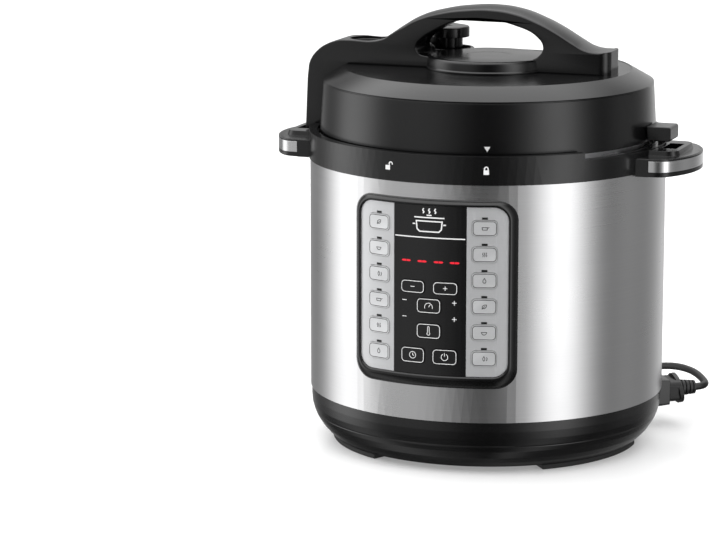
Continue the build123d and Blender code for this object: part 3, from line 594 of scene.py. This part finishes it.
# %% [markdown]
# ## Printed marks
# Marks are drawn as strokes: short lists of points in a unit square, widened to ribbons a fraction of a
# millimetre thick. The real panel carries words; here each key has a simple picture instead, so that
# nothing is spelled out. A key's marks ride with the key, so they move when it is pressed.

# %% Ribbons from strokes
INK = 0.06


def ribbon(points, width, closed=False):
    """Pairs of points either side of a stroke, with mitred corners."""
    pairs = []
    total = len(points)
    for index, point in enumerate(points):
        before = points[index - 1] if index or closed else None
        after = points[(index + 1) % total] if index < total - 1 or closed else None
        here = Vector(point)
        ways = [(here - Vector(before)).normalized()] if before is not None else []
        ways += [(Vector(after) - here).normalized()] if after is not None else []
        way = (ways[0] + ways[-1]).normalized() if (ways[0] + ways[-1]).length > 0.01 else ways[0]
        across = Vector((-way.y, way.x))
        stretch = 1 / max(0.45, abs(across.dot(Vector((-ways[0].y, ways[0].x)))))
        pairs.append((here + across * width / 2 * stretch, here - across * width / 2 * stretch))
    return pairs


def fine_steps(points, closed, longest=1.5):
    """The same stroke with extra points, so long parts can follow a curved face."""
    fine = []
    follow = points[1:] + (points[:1] if closed else [])
    for (x0, y0), (x1, y1) in zip(points, follow):
        parts = max(1, math.ceil(math.hypot(x1 - x0, y1 - y0) / longest))
        fine += [(x0 + (x1 - x0) * part / parts, y0 + (y1 - y0) * part / parts) for part in range(parts)]
    return fine if closed else fine + [points[-1]]


def ink_mesh(name, strokes, fills, width, place):
    """Thin ribbons and filled outlines; place turns a flat point and a lift into a point on the object."""
    vertices, faces = [], []

    def slab(outline_faces, flat_points):
        base = len(vertices)
        count = len(flat_points)
        vertices.extend(place(p[0], p[1], INK) for p in flat_points)
        vertices.extend(place(p[0], p[1], 0.0) for p in flat_points)
        edges = {}
        for face in outline_faces:
            faces.append(tuple(base + index for index in face))
            faces.append(tuple(base + count + index for index in reversed(face)))
            for start, end in zip(face, face[1:] + face[:1]):
                edges[(start, end)] = edges.get((start, end), 0) + 1
        for start, end in edges:
            if (end, start) not in edges:
                faces.append((base + start, base + end, base + count + end, base + count + start))

    for points, closed in strokes:
        pairs = ribbon(fine_steps(points, closed), width, closed)
        flat = [point for pair in pairs for point in pair]
        last = len(pairs) if closed else len(pairs) - 1
        quads = []
        for index in range(last):
            after = (index + 1) % len(pairs)
            quads.append([2 * index, 2 * index + 1, 2 * after + 1, 2 * after])
        slab(quads, flat)
    for points in fills:
        slab([list(range(len(points)))], points)
    return mesh_of(name, vertices, faces)


def arc_points(x, y, radius, start, end, steps=14):
    """Points along an arc, angles in degrees."""
    return [(x + radius * math.cos(math.radians(start + (end - start) * i / steps)),
             y + radius * math.sin(math.radians(start + (end - start) * i / steps)))
             for i in range(steps + 1)]


print("strokes ready; ink is", INK, "mm thick")

# %% Pictures for the keys
RING = (arc_points(0, 0, 0.8, 0, 345, 22), True)
PICTURES = {
    "minus_key": ([([(-0.7, 0), (0.7, 0)], False)], 2.2),
    "plus_key": ([([(-0.7, 0), (0.7, 0)], False), ([(0, -0.7), (0, 0.7)], False)], 2.2),
    "pressure_key": ([(arc_points(0, -0.3, 1.0, 200, -20, 18), False), ([(0, -0.3), (0.45, 0.35)], False)],
                     2.9),
    "temperature_key": ([(arc_points(0, -0.6, 0.35, 125, 415, 14), False),
                         ([(-0.2, -0.3), (-0.2, 0.9)], False),
                         ([(0.2, -0.3), (0.2, 0.9)], False), (arc_points(0, 0.9, 0.2, 180, 0, 6), False)],
                         3.0),
    "delay_key": ([RING, ([(0, 0.5), (0, 0), (0.35, -0.15)], False)], 3.0),
    "start_key": ([(arc_points(0, 0, 0.8, 120, 420, 20), False), ([(0, 0.2), (0, 1.0)], False)], 3.0),
    "drop": ([([(0, 0.9), (0.5, 0.1), (0.55, -0.35), (0.25, -0.75), (-0.25, -0.75), (-0.55, -0.35),
                (-0.5, 0.1)], True)], 2.6),
    "bowl": ([([(-0.9, 0.15), (0.9, 0.15)], False), (arc_points(0, 0.15, 0.75, 180, 360, 14), False),
              ([(-0.3, -0.62), (0.3, -0.62)], False)], 3.0),
    "steam": ([([(x, -0.7), (x + 0.22, -0.3), (x - 0.05, 0.15), (x + 0.18, 0.7)], False)
               for x in (-0.6, -0.05, 0.5)], 2.8),
    "leaf": ([([(-0.7, -0.6), (-0.6, 0.2), (0, 0.7), (0.8, 0.7), (0.7, 0.0), (0.2, -0.55)], True),
              ([(-0.8, -0.8), (0.3, 0.25)], False)], 2.6),
    "grain": ([([(0, 0.8), (0.35, 0.2), (0.3, -0.4), (0, -0.8), (-0.3, -0.4), (-0.35, 0.2)], True),
               ([(0.9, 0.6), (1.15, 0.1), (1.0, -0.5), (0.7, -0.7)], False)], 2.6),
    "pan": ([([(-0.9, 0.3), (-0.75, -0.5), (0.75, -0.5), (0.9, 0.3)], True),
             ([(0.9, 0.1), (1.5, 0.4)], False)], 2.7),
}
SIDE_PICTURES = ["drop", "leaf", "bowl", "grain", "pan", "steam"]
KEY_FACE_R = 133.9
SIDE_ANGLE = 17.1
SIDE_HEIGHTS = (181.0, 162.3, 143.6, 124.9, 106.2, 87.5)
KEYS = {
    "minus_key": (-5.2, 137.2, 18.3, 9.5),
    "plus_key": (5.2, 137.2, 18.3, 9.5),
    "pressure_key": (0.0, 124.0, 18.2, 11.0),
    "temperature_key": (0.0, 105.8, 18.2, 11.0),
    "delay_key": (-5.1, 87.7, 18.2, 11.4),
    "start_key": (5.1, 87.7, 18.2, 11.4),
}
for row, height in enumerate(SIDE_HEIGHTS, start=1):
    KEYS[f"key_left_{row}"] = (-SIDE_ANGLE, height, 17.8, 11.2)
    KEYS[f"key_right_{row}"] = (SIDE_ANGLE, height, 17.8, 11.2)


def on_key(angle, height, x, y, lift):
    """Point on a key's flat face: x to the right and y up from its middle."""
    turn = math.radians(angle)
    radius = KEY_FACE_R + lift
    return (radius * math.sin(turn) + x * math.cos(turn), -radius * math.cos(turn) + x * math.sin(turn),
            height + y)


def key_marks(node):
    """Outline and picture of one key as a mesh of ink."""
    angle, height, width, tall = KEYS[node]
    dark = not node.startswith("key_")
    picture = node if dark else SIDE_PICTURES[(int(node[-1]) + (3 if "right" in node else 0)) % 6]
    strokes, size = PICTURES[picture]
    size = size if dark else size * 0.8
    edge = 0.75
    border = rounded_box(-width / 2 + edge, width / 2 - edge, -tall / 2 + edge, tall / 2 - edge, 2.4, 5, 2)
    drawn = [(border, True)] + [([(x * size, y * size) for x, y in points], closed) for points,
                                closed in strokes]
    name = node + "_mark"
    mesh = ink_mesh(name, drawn, [], 0.42, lambda x, y, lift: on_key(angle, height, x, y, lift))
    return set_piece(name, mesh, [ink_white if dark else ink_black], node)


for node in KEYS:
    key_marks(node)
print("marks on", len(KEYS), "keys")

# %% Marks on the window
WINDOW_R = 133.4


def on_window(x, z, lift):
    """Point on the curved window."""
    return on_body(x, z, WINDOW_R + lift)


divider = [([(-26.0, 172.9), (26.0, 172.9)], False)]
set_piece("window_line", ink_mesh("window_line", divider, [], 0.8, on_window), [ink_white], "housing")
POT = [([(-9.6, 184.6), (-9.0, 179.0), (-7.2, 177.2), (7.2, 177.2), (9.0, 179.0), (9.6, 184.6)], True),
       ([(-11.2, 187.2), (11.2, 187.2)], False), ([(-1.8, 188.9), (1.8, 188.9)], False),
       ([(-12.4, 182.4), (-10.4, 182.4)], False), ([(10.4, 182.4), (12.4, 182.4)], False)]
STEAM = [([(x, 190.2), (x + 0.8, 191.2), (x - 0.2, 192.5), (x + 0.6, 193.8)], False)
         for x in (-4.6, -0.2, 4.2)]
set_piece("pot_picture", ink_mesh("pot_picture", POT + STEAM, [], 0.9, on_window), [ink_white], "housing")
TICKS = [([(x - 1.6, z), (x + 1.6, z)], False) for x,
         z in ((-18.6, 127.0), (18.6, 127.0), (-18.6, 115.2), (18.6, 115.2))]
TICKS += [([(x, z - 1.6), (x, z + 1.6)], False) for x, z in ((18.6, 127.0), (18.6, 115.2))]
set_piece("level_ticks", ink_mesh("level_ticks", TICKS, [], 0.5, on_window), [ink_white], "housing")
BARS = []
for centre in (-17.2, -5.2, 7.0, 18.6):
    for side in (-1, 1):
        tip, root = centre + side * 3.6, centre + side * 0.15
        BARS.append([(root, 155.0), (tip - side * 0.9, 155.0), (tip, 155.7), (tip - side * 0.9, 156.4),
                     (root, 156.4)][::side])
set_piece("display_bars", ink_mesh("display_bars", [], BARS, 0.5, on_window), [bar_red], "housing")
print("window marks:", made[-4:])

# %% [markdown]
# ## Program lamps, by Geometry Nodes
# Above each side key sits a small dark lamp. Twelve of the same thing in two curved columns is a job for
# Geometry Nodes: a line of points is numbered, each number gives a row and a side, and one small bar is
# placed at every point, turned to face outward. The tree has named sizes, and ends by making real faces
# with a finish.

# %% The lamp tree
def value_math(tree, operation, first, second=0.0):
    """Math node in a geometry tree."""
    node = tree.nodes.new("ShaderNodeMath")
    node.operation = operation
    for socket, value in zip(node.inputs, (first, second)):
        if isinstance(value, (int, float)):
            socket.default_value = value
        else:
            tree.links.new(value, socket)
    return node.outputs[0]


def lamp_tree(material):
    """Geometry tree that places a bar beside every key of two curved columns."""
    tree = bpy.data.node_groups.new("program_lamps", "GeometryNodeTree")
    tree.interface.new_socket("Geometry", in_out="INPUT", socket_type="NodeSocketGeometry")
    tree.interface.new_socket("Rows", in_out="INPUT", socket_type="NodeSocketInt").default_value = 6
    sizes = {"Radius": 0.1334, "Column angle": math.radians(SIDE_ANGLE), "Lowest": 0.0945,
             "Spacing": 0.0187,
             "Bar width": 0.0042, "Bar height": 0.0016, "Bar depth": 0.0003}
    for label, value in sizes.items():
        tree.interface.new_socket(label, in_out="INPUT",
                                  socket_type="NodeSocketFloat").default_value = value
    tree.interface.new_socket("Geometry", in_out="OUTPUT", socket_type="NodeSocketGeometry")
    inside, outside = tree.nodes.new("NodeGroupInput"), tree.nodes.new("NodeGroupOutput")
    line = tree.nodes.new("GeometryNodeMeshLine")
    tree.links.new(value_math(tree, "MULTIPLY", inside.outputs["Rows"], 2.0), line.inputs["Count"])
    number = tree.nodes.new("GeometryNodeInputIndex").outputs[0]
    row = value_math(tree, "FLOOR", value_math(tree, "DIVIDE", number, 2.0))
    sign = value_math(tree, "SUBTRACT", value_math(tree, "MULTIPLY",
                                                   value_math(tree, "MODULO", number, 2.0), 2.0), 1.0)
    angle = value_math(tree, "MULTIPLY", sign, inside.outputs["Column angle"])
    height = value_math(tree, "ADD", value_math(tree, "MULTIPLY", row, inside.outputs["Spacing"]),
                        inside.outputs["Lowest"])
    place = tree.nodes.new("ShaderNodeCombineXYZ")
    across = value_math(tree, "MULTIPLY", value_math(tree, "SINE", angle), inside.outputs["Radius"])
    depth = value_math(tree, "MULTIPLY", value_math(tree, "COSINE", angle), inside.outputs["Radius"])
    tree.links.new(across, place.inputs[0])
    tree.links.new(value_math(tree, "MULTIPLY", depth, -1.0), place.inputs[1])
    tree.links.new(height, place.inputs[2])
    move = tree.nodes.new("GeometryNodeSetPosition")
    tree.links.new(line.outputs[0], move.inputs["Geometry"])
    tree.links.new(place.outputs[0], move.inputs["Position"])
    bar_size = tree.nodes.new("ShaderNodeCombineXYZ")
    for axis, label in enumerate(("Bar width", "Bar depth", "Bar height")):
        tree.links.new(inside.outputs[label], bar_size.inputs[axis])
    bar = tree.nodes.new("GeometryNodeMeshCube")
    tree.links.new(bar_size.outputs[0], bar.inputs["Size"])
    turn = tree.nodes.new("ShaderNodeCombineXYZ")
    tree.links.new(angle, turn.inputs[2])
    copies = tree.nodes.new("GeometryNodeInstanceOnPoints")
    tree.links.new(move.outputs[0], copies.inputs["Points"])
    tree.links.new(bar.outputs[0], copies.inputs["Instance"])
    tree.links.new(turn.outputs[0], copies.inputs["Rotation"])
    real = tree.nodes.new("GeometryNodeRealizeInstances")
    tree.links.new(copies.outputs[0], real.inputs[0])
    painted = tree.nodes.new("GeometryNodeSetMaterial")
    painted.inputs["Material"].default_value = material
    tree.links.new(real.outputs[0], painted.inputs["Geometry"])
    tree.links.new(painted.outputs[0], outside.inputs[0])
    return tree


def grown(tree, name, settings=None):
    """Plain mesh grown by a geometry tree, with any inputs set by their names."""
    seed = bpy.data.objects.new(name + "_seed", bpy.data.meshes.new(name + "_seed"))
    bpy.context.scene.collection.objects.link(seed)
    modifier = seed.modifiers.new("tree", "NODES")
    modifier.node_group = tree
    for item in tree.interface.items_tree:
        if item.in_out == "INPUT" and settings and item.name in settings:
            modifier[item.identifier] = settings[item.name]
    bpy.context.view_layer.update()
    mesh = bpy.data.meshes.new_from_object(seed.evaluated_get(bpy.context.evaluated_depsgraph_get()))
    bpy.data.objects.remove(seed)
    mesh.name = name
    return mesh


lamps = grown(lamp_tree(ink_black), "program_lamps")
print("lamps:", len(lamps.polygons), "faces")
add_bevel(set_piece("program_lamps", lamps, [ink_black], "housing"), 0.12)

# %% [markdown]
# ## Lock signs
# A closed padlock and an open one are printed on the collar, and a small arrow on the lid's wall points at
# them: turn the lid until the arrow meets the closed padlock. The arrow rides on the lid and moves as it
# turns.

# %% Padlocks and arrow
def on_round(angle, height, radius):
    """Place on an upright round wall: x runs round it and y up it from a middle point."""
    return lambda x, y, lift: (
        (radius + lift) * math.sin(math.radians(angle) + x / radius),
        -(radius + lift) * math.cos(math.radians(angle) + x / radius),
        height + y,
    )


BODY = [(-1.9, -2.9), (1.9, -2.9), (1.9, 0.3), (-1.9, 0.3)]
SHACKLE = [(-1.25, 0.3), (-1.25, 1.3)] + arc_points(0, 1.3, 1.25, 180, 0, 10) + [(1.25, 0.3)]
OPEN_SHACKLE = [(1.25, 0.3), (1.25, 1.5)] + arc_points(2.5, 1.5, 1.25, 180, 0, 10) + [(3.75, 0.9)]
closed_lock = ink_mesh("closed_lock", [(SHACKLE, False)], [BODY], 0.75, on_round(17.4, 221.7, 132.0))
open_lock = ink_mesh("open_lock", [(OPEN_SHACKLE, False)], [BODY], 0.75, on_round(-14.4, 221.7, 132.0))
set_piece("closed_lock", closed_lock, [ink_white], "housing")
set_piece("open_lock", open_lock, [ink_white], "housing")
ARROW = [(-2.2, 1.9), (0, -1.9), (2.2, 1.9)]
set_piece("lid_arrow", ink_mesh("lid_arrow", [], [ARROW], 0.5, on_round(17.6, 235.3, 123.55)), [ink_white],
          "lid")
print("signs:", made[-3:])

# %% [markdown]
# ## Lid
# The lid is a turned section: a slightly leaning wall, a fine groove, a sloping shoulder that ends in a
# crest, and a flat top a little lower. The groove is half a millimetre deep, and it is what draws the dark
# line round the wall's upper edge.

# %% Lid cover
LID_OUT = [(120.2, 229.4), (123.9, 229.4), (121.5, 266.9), (121.0, 267.2), (121.1, 267.9), (121.6, 268.3),
           (105.5, 277.4), (104.3, 276.9), (30.0, 276.9), (30.0, 274.3), (103.0, 274.3), (104.0, 274.8),
           (118.8, 266.2), (121.3, 233.9), (120.2, 233.9)]
LID_RADII = [0, 0.7, 0.3, 0.2, 0.3, 1.2, 0.8, 0.5, 0, 0, 0, 0, 0, 0, 0]
lid_mesh = turned("lid_cover_skin", rounded(LID_OUT, LID_RADII), segments=192)
set_piece("lid_cover_skin", lid_mesh, [lid_black], "lid", ("lid_cover",), 20)
LID_MIDDLE = [(0.0, 276.85), (30.4, 276.85), (30.4, 274.4), (0.0, 274.4)]
set_piece("lid_middle", turned("lid_middle", LID_MIDDLE), [lid_black], "lid")
dressed("lid_fin", lid_black, 0.8, 3)
print("lid done:", made[-3:])

# %% [markdown]
# ## Lid handle
# The handle is one black moulding: a column beside the lid, a flat platform round the float valve, an arch
# over a finger window, and a low round end. Its side outline, with the window as a hole, becomes a filled
# flat curve that is thickened with a rounded edge; the upper face is then cut into strips and bowed, so the
# arch's top is crowned as it is on the real handle.

# %% Side outline and solid
HALF = 16.5
EDGE_ROUND = 1.1
CROWN = 2.6
SMOOTH, SHARP = "AUTO", "VECTOR"
OUTLINE = [(-121.5, 226.9, SHARP), (-137.9, 226.9, SHARP), (-136.8, 255, SHARP), (-135.8, 270, SMOOTH),
           (-134.2, 278, SMOOTH), (-128.2, 286, SMOOTH), (-121.5, 290.6, SMOOTH), (-112.5, 293.9, SMOOTH),
           (-104, 294.5, SMOOTH), (-83.5, 294.55, SMOOTH), (-76.5, 296.8, SMOOTH), (-71, 301.0, SMOOTH),
           (-63.2, 306.6, SMOOTH), (-50.8, 313.7, SMOOTH), (-32.2, 319.4, SMOOTH), (-12, 322.5, SMOOTH),
           (6, 323.3, SMOOTH), (25.2, 320.9, SMOOTH), (40.4, 315.8, SMOOTH), (51.7, 310.7, SMOOTH),
           (66.9, 302.1, SMOOTH), (77, 296.0, SMOOTH), (86, 293.6, SMOOTH), (95.9, 293.5, SHARP),
           (95.9, 276.6, SHARP), (-103.5, 276.6, SHARP), (-119.5, 267.2, SHARP)]
WINDOW = [(-43, 285.2, SMOOTH), (-49.4, 287.4, SMOOTH), (-50.6, 292, SMOOTH), (-46, 298.2, SMOOTH),
          (-39.5, 302.6, SMOOTH),
          (-20, 311.6, SMOOTH), (0, 313.8, SMOOTH), (27, 309.6, SMOOTH), (42, 302.4, SMOOTH),
          (46.3, 295.4, SMOOTH),
          (43.5, 289.2, SMOOTH), (36, 285.4, SMOOTH)]


def bezier_loop(curve, points):
    """Closed Bezier loop in a flat curve, from width, height and handle kind."""
    spline = curve.splines.new("BEZIER")
    spline.bezier_points.add(len(points) - 1)
    for knot, (x, z, kind) in zip(spline.bezier_points, points):
        knot.co = (x * MM, z * MM, 0)
        knot.handle_left_type = kind
        knot.handle_right_type = kind
    spline.use_cyclic_u = True
    spline.resolution_u = 8


handle_curve = bpy.data.curves.new("handle_outline", "CURVE")
handle_curve.dimensions = "2D"
handle_curve.fill_mode = "BOTH"
bezier_loop(handle_curve, OUTLINE)
bezier_loop(handle_curve, WINDOW)
handle_curve.extrude = (HALF - EDGE_ROUND) * MM
handle_curve.bevel_depth = EDGE_ROUND * MM
handle_curve.bevel_resolution = 3
handle_curve.offset = -EDGE_ROUND * MM
drawn = bpy.data.objects.new("handle_outline", handle_curve)
bpy.context.scene.collection.objects.link(drawn)
bpy.context.view_layer.update()
handle_mesh = bpy.data.meshes.new_from_object(drawn.evaluated_get(bpy.context.evaluated_depsgraph_get()))
bpy.data.objects.remove(drawn)
print("handle outline solid:", len(handle_mesh.vertices), "points")

# %% Crown and round end
END_START_X = 88.0
END_CORNER = 8.0


def bow_handle(mesh):
    """Stands the flat solid upright, cuts it into strips, crowns its top and rounds its low end in plan."""
    mesh.transform(Matrix.Rotation(math.pi / 2, 4, "X"))
    work = bmesh.new()
    work.from_mesh(mesh)
    bmesh.ops.remove_doubles(work, verts=work.verts, dist=0.002 * MM)
    for y in (-14, -11, -7.5, -4, 0, 4, 7.5, 11, 14):
        geometry = work.verts[:] + work.edges[:] + work.faces[:]
        bmesh.ops.bisect_plane(work, geom=geometry, plane_co=(0, y * MM, 0), plane_no=(0, 1, 0))
    for x in (88, 89.5, 91, 92.5, 94, 95):
        geometry = work.verts[:] + work.edges[:] + work.faces[:]
        bmesh.ops.bisect_plane(work, geom=geometry, plane_co=(x * MM, 0, 0), plane_no=(1, 0, 0))
    outer = [(x, z) for x, z, kind in OUTLINE if z > 293]
    for vertex in work.verts:
        x, y, z = vertex.co.x / MM, vertex.co.y / MM, vertex.co.z / MM
        if -80 < x < 92 and z > 290:
            top = next((a[1] + (b[1] - a[1]) * (x - a[0]) / (b[0] - a[0]) for a, b in zip(outer, outer[1:])
                        if a[0] <= x <= b[0]), 293.5)
            fade = min(1.0, max(0.0, (x + 80) / 20)) * min(1.0, max(0.15, (92 - x) / 25))
            if z > top - 3.2:
                vertex.co.z -= CROWN * fade * (y / HALF) ** 2 * MM
        if x > END_START_X:
            reach = HALF - END_CORNER + math.sqrt(max(0.0, END_CORNER**2 - (x - END_START_X) ** 2))
            vertex.co.y = max(-reach, min(reach, y)) * MM
    bmesh.ops.remove_doubles(work, verts=work.verts, dist=0.002 * MM)
    bmesh.ops.recalc_face_normals(work, faces=work.faces)
    work.to_mesh(mesh)
    work.free()


bow_handle(handle_mesh)
size = [max(v.co[i] for v in handle_mesh.vertices) - min(v.co[i] for v in handle_mesh.vertices)
        for i in range(3)]
print("handle size in mm:", [round(v / MM, 1) for v in size])

# %% Valve recess and base pad
RECESS = [(0.0, 300.0), (13.4, 300.0), (13.4, 292.6), (12.6, 292.0), (3.8, 292.0), (3.8, 262.0),
          (0.0, 262.0)]
FLOAT_PLACE = (-94.0, 0.0)
KNOB_PLACE = (-42.0, 35.0)


def carved(name, mesh, cutter_mesh):
    """Mesh with another closed mesh cut out of it."""
    base = bpy.data.objects.new(name, mesh)
    tool = bpy.data.objects.new(name + "_tool", cutter_mesh)
    for item in (base, tool):
        bpy.context.scene.collection.objects.link(item)
    cut = base.modifiers.new("cut", "BOOLEAN")
    cut.operation = "DIFFERENCE"
    cut.object = tool
    cut.solver = "EXACT"
    bpy.context.view_layer.update()
    result = bpy.data.meshes.new_from_object(base.evaluated_get(bpy.context.evaluated_depsgraph_get()))
    for item in (base, tool):
        bpy.data.objects.remove(item)
    return result


recess_cutter = turned("recess_cutter", RECESS, FLOAT_PLACE, 64)
handle_mesh = carved("handle_blank", handle_mesh, recess_cutter)
set_piece("lid_handle_skin", handle_mesh, [handle_black], "lid", ("lid_handle",), 32)
PAD = [(17.0, 276.7), (46.2, 276.7), (46.2, 278.2), (45.2, 279.0), (44.9, 286.1), (17.0, 286.1)]
pad_mesh = turned("handle_pad", rounded(PAD, [0, 0.5, 0.5, 0.5, 3.2, 0]), segments=128)
WELL_CUT = [(0.0, 290.0), (15.9, 290.0), (15.9, 270.0), (0.0, 270.0)]
pad_mesh = carved("pad_blank", pad_mesh, turned("well_cutter", WELL_CUT, KNOB_PLACE, 64))
set_piece("handle_pad", pad_mesh, [handle_black], "lid")
WELL = [(16.05, 276.8), (18.5, 276.8), (18.5, 286.1), (16.05, 286.1)]
set_piece("knob_well", turned("knob_well", rounded(WELL, [0, 0, 0.8, 0.5]), KNOB_PLACE, 64), [handle_black],
          "lid")


def knob_guard():
    """Low curved wall round the knob's outer side, highest in the middle."""
    vertices, faces = [], []
    steps = 36
    for step in range(steps + 1):
        turn = math.radians(105 + 150 * step / steps)
        top = 284.0 + 9.4 * math.sin(math.pi * step / steps) ** 0.4
        for radius, height in ((18.4, 280.0), (18.4, top - 0.6), (17.8, top), (16.8, top),
                               (16.2, top - 0.6), (16.2, 280.0)):
            vertices.append((KNOB_PLACE[0] + radius * math.cos(turn),
                             KNOB_PLACE[1] + radius * math.sin(turn), height))
    for step in range(steps):
        for corner in range(6):
            after = (corner + 1) % 6
            faces.append((6 * step + corner, 6 * step + after, 6 * step + 6 + after, 6 * step + 6 + corner))
    faces.append(tuple(range(5, -1, -1)))
    faces.append(tuple(range(6 * steps, 6 * steps + 6)))
    return mesh_of("knob_guard", vertices, faces)


set_piece("knob_guard", knob_guard(), [handle_black], "lid", crisp=40)
PAD_MIDDLE = [(0.0, 286.05), (17.3, 286.05), (17.3, 277.0), (0.0, 277.0)]
set_piece("pad_middle", turned("pad_middle", PAD_MIDDLE), [handle_black], "lid")
print("handle done:", made[-4:])

# %% Knob, valve and inner pieces
dressed("steam_release_knob", handle_black, 0.6, 3)
dressed("float_valve", valve_steel, 0.4)
dressed("exhaust_stem", inner_steel, 0.2)
dressed("condensation_cup", cup_clear, 0.5)
dressed("power_inlet", satin_black, 0.6)
for node, material in (("inner_pot", pot_steel), ("outer_pot", inner_steel), ("lock_ring", inner_steel),
                       ("inner_lid", inner_steel), ("heating_plate", cast_alloy),
                       ("temperature_sensor", cast_alloy)):
    dressed(node, material, 0.25)
dressed("sealing_ring", seal_silicone, 0.8, 3)
for node, material in (("seal_rack", wire_steel), ("exhaust_shield", inner_steel),
                       ("lid_screws", wire_steel),
                       ("power_board", board_green), ("control_board", board_green),
                       ("display_module", display_dark),
                       ("pressure_switch", satin_black)):
    dressed(node, material)
print(len(made), "pieces made so far")

# %% [markdown]
# ## Light and floor
# A round shiny body shows the room as upright bands. The sky is a ring of soft bands round the cooker,
# bright and dark by turns, with a large soft light overhead. The floor is plain and pale. It takes shadows
# and mirrors the cooker faintly, but the metal looks past it to the bands, as it would on a small table in
# a studio.

# %% Sky with soft bands
BANDS = [(-180, 0.9), (-150, 0.4), (-128, 0.18), (-108, 0.3), (-92, 2.1), (-74, 2.2), (-58, 0.5),
         (-42, 0.62), (-20, 0.68),
         (-4, 0.34), (10, 0.05), (28, 0.07), (44, 0.5), (58, 2.0), (70, 2.6), (82, 0.9), (96, 0.12),
         (108, 0.25),
         (120, 0.40), (138, 0.22), (156, 0.4), (172, 0.8), (180, 0.9)]
OVERHEAD = 2.4
OVERHEAD_LEAN = 0.25
OVERHEAD_FROM, OVERHEAD_FULL = 0.55, 0.85
BELOW_FROM, BELOW_FULL = -0.2, -0.5
BELOW_LEVEL = 0.3
BRIGHTEST = 2.6

world = bpy.data.worlds.new("studio")
bpy.context.scene.world = world
world.use_nodes = True
sky = world.node_tree
backdrop = sky.nodes["Background"]
place = sky.nodes.new("ShaderNodeTexCoord")
split = sky.nodes.new("ShaderNodeSeparateXYZ")
sky.links.new(place.outputs["Generated"], split.inputs[0])
away = math_node(sky, "MULTIPLY", split.outputs[1], -1.0)
around = math_node(sky, "ADD", math_node(sky, "DIVIDE", math_node(sky, "ARCTAN2", split.outputs[0], away),
                                         2 * math.pi), 0.5)
ring = sky.nodes.new("ShaderNodeValToRGB")
ring.color_ramp.interpolation = "B_SPLINE"
while len(ring.color_ramp.elements) < len(BANDS):
    ring.color_ramp.elements.new(0.5)
for element, (azimuth, level) in zip(ring.color_ramp.elements, BANDS):
    element.position = (azimuth + 180) / 360
for element, (azimuth, level) in zip(ring.color_ramp.elements, BANDS):
    element.color = (level / BRIGHTEST, level / BRIGHTEST, level / BRIGHTEST, 1)
sky.links.new(around, ring.inputs[0])
upper = sky.nodes.new("ShaderNodeMapRange")
upper.interpolation_type = "SMOOTHSTEP"
upper.inputs[1].default_value = OVERHEAD_FROM
upper.inputs[2].default_value = OVERHEAD_FULL
leaning = math_node(sky, "SUBTRACT", split.outputs[2],
                    math_node(sky, "MULTIPLY", split.outputs[0], OVERHEAD_LEAN))
sky.links.new(leaning, upper.inputs[0])
bands_level = math_node(sky, "MULTIPLY", ring.outputs[0], BRIGHTEST)
toward_top = math_node(sky, "MULTIPLY", math_node(sky, "SUBTRACT", OVERHEAD, bands_level), upper.outputs[0])
lower = sky.nodes.new("ShaderNodeMapRange")
lower.interpolation_type = "SMOOTHSTEP"
lower.inputs[1].default_value = BELOW_FROM
lower.inputs[2].default_value = BELOW_FULL
lower.inputs[3].default_value = 1.0
lower.inputs[4].default_value = BELOW_LEVEL
sky.links.new(split.outputs[2], lower.inputs[0])
level = math_node(sky, "MULTIPLY", math_node(sky, "ADD", bands_level, toward_top), lower.outputs[0])
sky.links.new(level, backdrop.inputs["Strength"])
backdrop.inputs["Color"].default_value = (1, 1, 1, 1)
print("sky bands:", len(ring.color_ramp.elements))

# %% Floor
FLOOR_HALF = 30.0
FLOOR_WHITE = 0.93
FLOOR_ROUGHNESS = 0.2
FLOOR_GLOW = 0.25
floor_mesh = bpy.data.meshes.new("floor")
corners = [(-FLOOR_HALF, -FLOOR_HALF, 0), (FLOOR_HALF, -FLOOR_HALF, 0), (FLOOR_HALF, FLOOR_HALF, 0),
           (-FLOOR_HALF, FLOOR_HALF, 0)]
floor_mesh.from_pydata(corners, [], [(0, 1, 2, 3)])
floor = bpy.data.objects.new("floor", floor_mesh)
bpy.context.scene.collection.objects.link(floor)
floor_white = bpy.data.materials.new("floor_white")
floor_white.use_nodes = True
floor_shader = floor_white.node_tree.nodes["Principled BSDF"]
floor_shader.inputs["Base Color"].default_value = (FLOOR_WHITE, FLOOR_WHITE, FLOOR_WHITE, 1)
floor_shader.inputs["Roughness"].default_value = FLOOR_ROUGHNESS
floor_shader.inputs["Emission Color"].default_value = (1, 1, 1, 1)
floor_shader.inputs["Emission Strength"].default_value = FLOOR_GLOW
floor_mesh.materials.append(floor_white)
floor.visible_glossy = False
bpy.context.scene.view_settings.view_transform = "Standard"
print("floor", 2 * FLOOR_HALF, "m across")
